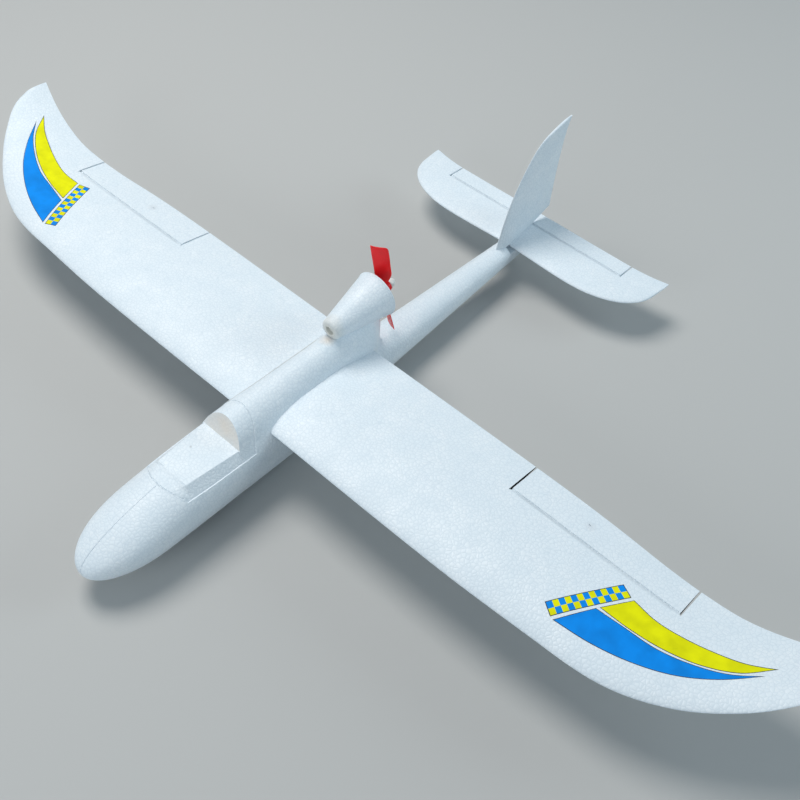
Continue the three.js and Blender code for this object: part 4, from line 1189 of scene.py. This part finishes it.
def make_propeller():
    front, rear = HUB_Y
    profile = [(0, front)] + quarter(HUB_RADIUS - 0.8, front, 0.8, 0.8, 4)
    profile += quarter(HUB_RADIUS - 0.8, rear, 0.8, -0.8, 4)[::-1] + [(0, rear)]
    hub = wheel("plastic_propeller", profile, 64)
    unite(hub, blade("blade", BLADE_ANGLE), blade("blade", BLADE_ANGLE + math.pi))
    cut(hub, thrust_bar("bore", front - 5, rear + 5, BORE_RADIUS))
    seat(hub, "rotor", "red_plastic", red_plastic, "propeller")


def make_nut():
    front, rear = NUT_Y
    radius, rise = 5.4, rear - front - 2
    profile = [(0, front), (radius - 0.4, front), (radius, front + 0.4), (radius, front + 2)]
    for a in np.linspace(0.12, 1.45, 12):
        profile.append((radius * math.cos(a), front + 2 + rise * math.sin(a)))
    nut = wheel("plastic_prop_nut", profile + [(0, rear)], 48)
    cut(nut, thrust_bar("bore", front - 5, rear - 5, BORE_RADIUS))
    seat(nut, "rotor", "white_plastic", white_plastic, "prop_nut")


def make_motor():
    """Outrunner bell: chamfered can with windows in its closed end, on its shaft."""
    bell = wheel("metal_motor_bell", [
        (0, 7.4), (1.6, 7.4), (1.6, 24.8), (10, 24.8), (10, 11), (11.2, 11), (11.5, 11.4),
        (11.5, 25.9), (11.1, 26.5), (9, 28), (5, 28.5), (4.5, 28.9), (4.5, 30.6), (1.6, 31),
        (1.6, 49.8), (1.4, 50), (0, 50),
    ], 64)
    windows = [thrust_bar("window", 24, 30, 1.7, 20, math.pi / 3 * i, 7.4) for i in range(6)]
    seat(cut(bell, *windows), "rotor", "aluminium", aluminium, "motor_bell")
    collet = wheel("metal_prop_collet", [
        (2, 31.2), (4.1, 31.2), (4.4, 31.6), (6, 34.3), (6.2, 34.8), (6.2, 36.2), (5.9, 36.5),
        (2, 36.5),
    ], 48)
    seat(collet, "rotor", "aluminium", aluminium, "prop_collet")


# ---- stickers ----
# The right wing's film is laid on further out and turned a little about its inner rear corner.
STICKER_PIVOT = (398.6, -53.7)
STICKER_SHIFT = {1: (0, 0), -1: (17.7, -1.3)}
STICKER_TURN = {1: 0.0, -1: math.radians(8.5)}
STICKER_RISE = 0.11
STICKER_BASE = -0.1
INK_WIDTH = 0.75


def laid_on(sign, x, y):
    """Where a point of the drawn sticker lies on one wing."""
    dx, dy = x - STICKER_PIVOT[0], y - STICKER_PIVOT[1]
    c, s = math.cos(STICKER_TURN[sign]), math.sin(STICKER_TURN[sign])
    along, back = STICKER_SHIFT[sign]
    return STICKER_PIVOT[0] + along + dx * c - dy * s, STICKER_PIVOT[1] + back + dx * s + dy * c


def sticker(name, sign, point_at, us, vs, tone, materials):
    """Thin film on the wing: point_at(u, v) gives (x, y), tone(i, j) a cell's material."""
    points, faces, tones = [], [], []
    rows, columns = len(us), len(vs)
    for rise in (STICKER_RISE, STICKER_BASE):
        for u in us:
            for v in vs:
                x, y = laid_on(sign, *point_at(u, v))
                points.append((sign * x, y, wing_surface(x, y) + rise))
    size = rows * columns
    for i in range(rows - 1):
        for j in range(columns - 1):
            a = i * columns + j
            quad = (a, a + columns, a + columns + 1, a + 1)
            faces += [quad, tuple(size + k for k in reversed(quad))]
            tones += [tone(i, j)] * 2
    rim = [i * columns for i in range(rows)]
    rim += [(rows - 1) * columns + j for j in range(1, columns)]
    rim += [i * columns + columns - 1 for i in reversed(range(rows - 1))]
    rim += [j for j in reversed(range(1, columns - 1))]
    for a, b in zip(rim, rim[1:] + rim[:1]):
        faces.append((a, a + size, b + size, b))
        tones.append(len(materials) - 1)
    piece = face_out(new_piece(name, points, faces))
    piece.data.polygons.foreach_set("material_index", tones)
    seat(piece, "airframe", "white_foam", materials)


def between(first, second):
    """Point between two lines, each a function of u that gives (x, y)."""
    def at(u, v):
        (x0, y0), (x1, y1) = first(u), second(u)
        return lerp(x0, x1, v), lerp(y0, y1, v)

    return at


def line_through(*points):
    """Smooth line through points spread evenly over u = 0..1."""
    last = len(points) - 1
    xs = curve_through(*((i / last, p[0]) for i, p in enumerate(points)))
    ys = curve_through(*((i / last, p[1]) for i, p in enumerate(points)))
    return lambda u: (xs(u), ys(u))


def checker_strip(side, sign):
    """Two rows of squares across the inner end of the crescents."""
    front = line_through((356.5, -122), (398, -54.5))
    rear = line_through((369, -130), (411.5, -61.5))
    columns, rows = 13, 2
    edge_u, edge_v = INK_WIDTH / 80, INK_WIDTH / 16
    us = [0] + list(np.linspace(edge_u, 1 - edge_u, columns + 1)) + [1]
    vs = [0] + list(np.linspace(edge_v, 1 - edge_v, rows + 1)) + [1]

    def tone(i, j):
        if i in (0, columns + 1) or j in (0, rows + 1):
            return 2
        return (i + j) % 2

    materials = [sticker_blue, sticker_yellow, sticker_ink]
    sticker(f"checker_sticker_{side}", sign, between(front, rear), us, vs, tone, materials)


def crescent(name, sign, inner, outer, fill):
    """Tapering band between two lines, edged with ink."""
    shape = between(inner, outer)
    us = [0, INK_WIDTH / 180] + list(np.linspace(0.02, 1, 46))

    def at(u, v):
        (x0, y0), (x1, y1) = inner(u), outer(u)
        width = max(math.hypot(x1 - x0, y1 - y0), 0.01)
        edge = min(INK_WIDTH / width, 0.48)
        spots = [0, edge] + [lerp(edge, 1 - edge, k / 5) for k in range(1, 5)] + [1 - edge, 1]
        return shape(u, spots[v])

    last = 6

    def tone(i, j):
        return 1 if i == 0 or j in (0, last) else 0

    sticker(name, sign, at, us, range(8), tone, [fill, sticker_ink])


def make_stickers(side, sign):
    checker_strip(side, sign)
    blue_front = line_through(
        (372.5, -131), (411, -126.5), (448, -117), (483.5, -101.5), (515, -79), (542, -52)
    )
    blue_rear = line_through(
        (394.5, -94.5), (425.5, -92.5), (457, -90.5), (487.5, -82.5), (516.5, -70), (542, -52)
    )
    yellow_front = line_through(
        (396.5, -91.5), (430, -91), (463, -87), (495, -78), (524.5, -62.5), (547.5, -38.5)
    )
    yellow_rear = line_through(
        (415, -62), (442, -66), (469.5, -63.5), (496.5, -58), (523, -50.5), (547.5, -38.5)
    )
    crescent(f"blue_sticker_{side}", sign, blue_front, blue_rear, sticker_blue)
    crescent(f"yellow_sticker_{side}", sign, yellow_front, yellow_rear, sticker_yellow)


# ---- equipment and linkages ----
def make_servo(name, face, sign, shaft, node):
    """Small servo: case in three layers, lid screws, output boss."""
    y, z = shaft
    near, far = face, face - sign * SERVO_DEPTH
    ys = (y - SERVO_AHEAD, y + SERVO_BEHIND)
    zs = (z - SERVO_HALF_WIDTH, z + SERVO_HALF_WIDTH)
    case = box(name, sorted((near, far)), ys, zs)
    modify(case, "BEVEL", width=0.5, segments=2)
    seams = []
    for share in (0.24, 0.8):
        x = lerp(near, far, share)
        ring = [(x - 0.15, x + 0.15), (ys[0] - 1, ys[1] + 1), (zs[0] - 1, zs[1] + 1)]
        outer = box("seam", *ring)
        inner = box("core", (x - 1, x + 1), (ys[0] + 0.3, ys[1] - 0.3), (zs[0] + 0.3, zs[1] - 0.3))
        seams.append(cut(outer, inner))
    cut(case, *seams)
    extras = [tube("boss", [(near - sign, y, z), (near + 1.6 * sign, y, z)], 3, 32)]
    for dy in (ys[0] + 1.4, ys[1] - 1.4):
        for dz in (zs[0] + 1.4, zs[1] - 1.4):
            ends = [(far + 0.2 * sign, dy, dz), (far - 0.3 * sign, dy, dz)]
            extras.append(tube("screw", ends, 0.8, 12))
    seat(join(name, case, *extras), "airframe", "blue_plastic", blue_plastic, node)


def finish_cad(materials):
    """Gives the CAD nodes that stay their finished materials; their meshes stay as packed."""
    for node, material in materials.items():
        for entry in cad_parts[node].material_slots:
            entry.material = material


def make_equipment():
    for side, sign in SIDES:
        face = sign * (AILERON_HORN_X - 2)
        name = f"aileron_servo_case_{side}"
        make_servo(name, face, sign, AILERON_SHAFT, f"aileron_servo_{side}")
    make_servo("elevator_servo_case", ELEVATOR_SERVO_X, 1, ELEVATOR_SHAFT, "elevator_servo")
    finish_cad({
        **{f"aileron_servo_arm_{side}": white_plastic for side, _ in SIDES},
        **{f"aileron_horn_{side}": white_plastic for side, _ in SIDES},
        **{f"aileron_pushrod_{side}": steel for side, _ in SIDES},
        "elevator_servo_arm": white_plastic,
        "elevator_horn": white_plastic,
        "elevator_pushrod": steel,
        "spar_tube": carbon_tube,
        "motor_mount": plywood,
        "motor_stator": copper,
        "equipment_tray": plywood,
        "battery": battery_wrap,
        "battery_strap": webbing,
        "speed_controller": black_plastic,
        "receiver": black_plastic,
        "body_magnet": steel,
        "hatch_magnet": steel,
    })


# ---- scene ----
def make_floor():
    reach = FLOOR_REACH
    corners = [(-reach, -reach, 0), (reach, -reach, 0), (reach, reach, 0), (-reach, reach, 0)]
    mesh = bpy.data.meshes.new("floor")
    mesh.from_pydata(corners, [], [(0, 1, 2, 3)])
    floor = bpy.data.objects.new("floor", mesh)
    bpy.context.scene.collection.objects.link(floor)
    material, _, _ = principled("floor", (0.5, 0.5, 0.49), 0.9)
    mesh.materials.append(material)


def area_light(name, place, target, size, power, color):
    light = bpy.data.lights.new(name, "AREA")
    light.shape = "DISK"
    light.size = size
    light.energy = power
    light.color = color
    lamp = bpy.data.objects.new(name, light)
    bpy.context.scene.collection.objects.link(lamp)
    lamp.location = place
    lamp.rotation_euler = (Vector(target) - Vector(place)).to_track_quat("-Z", "Y").to_euler()


def make_lights():
    area_light("key", (-1.0, 0.2, 2.3), (0, 0, 0.05), 1.3, 42, (1.0, 0.975, 0.94))
    area_light("back", (1.5, 1.9, 1.0), (0, 0.1, 0.05), 1.4, 17, (0.8, 0.94, 1.0))
    area_light("front", (0.1, -2.1, 0.85), (0, 0, 0.05), 1.2, 13, (0.92, 0.97, 1.0))
    world = bpy.data.worlds.new("studio")
    world.use_nodes = True
    background = world.node_tree.nodes["Background"]
    background.inputs["Color"].default_value = (0.7, 0.87, 1.0, 1)
    background.inputs["Strength"].default_value = 0.32
    bpy.context.scene.world = world
    bpy.context.scene.view_settings.view_transform = "Standard"


def make_camera():
    azimuth, elevation, roll = (math.radians(a) for a in CAMERA_ANGLES)
    back = Vector((
        math.sin(azimuth) * math.cos(elevation), -math.cos(azimuth) * math.cos(elevation),
        math.sin(elevation),
    ))
    right = Vector((math.cos(azimuth), math.sin(azimuth), 0))
    up = back.cross(right)
    tilted_right = math.cos(roll) * right + math.sin(roll) * up
    tilted_up = math.cos(roll) * up - math.sin(roll) * right
    data = bpy.data.cameras.new("camera")
    data.lens = CAMERA_LENS
    data.sensor_width = 36
    camera = bpy.data.objects.new("camera", data)
    bpy.context.scene.collection.objects.link(camera)
    turn = Matrix((tilted_right, tilted_up, back)).transposed().to_4x4()
    camera.matrix_world = Matrix.Translation(CAMERA_PLACE) @ turn
    bpy.context.scene.camera = camera


make_camera()
make_floor()
make_lights()
make_fuselage()
make_hatch()
for side_name, side_sign in SIDES:
    make_wing(side_name, side_sign)
    make_aileron(side_name, side_sign)
    make_stickers(side_name, side_sign)
make_tailplane()
make_fin()
make_pod()
make_skid()
make_propeller()
make_nut()
make_motor()
make_equipment()
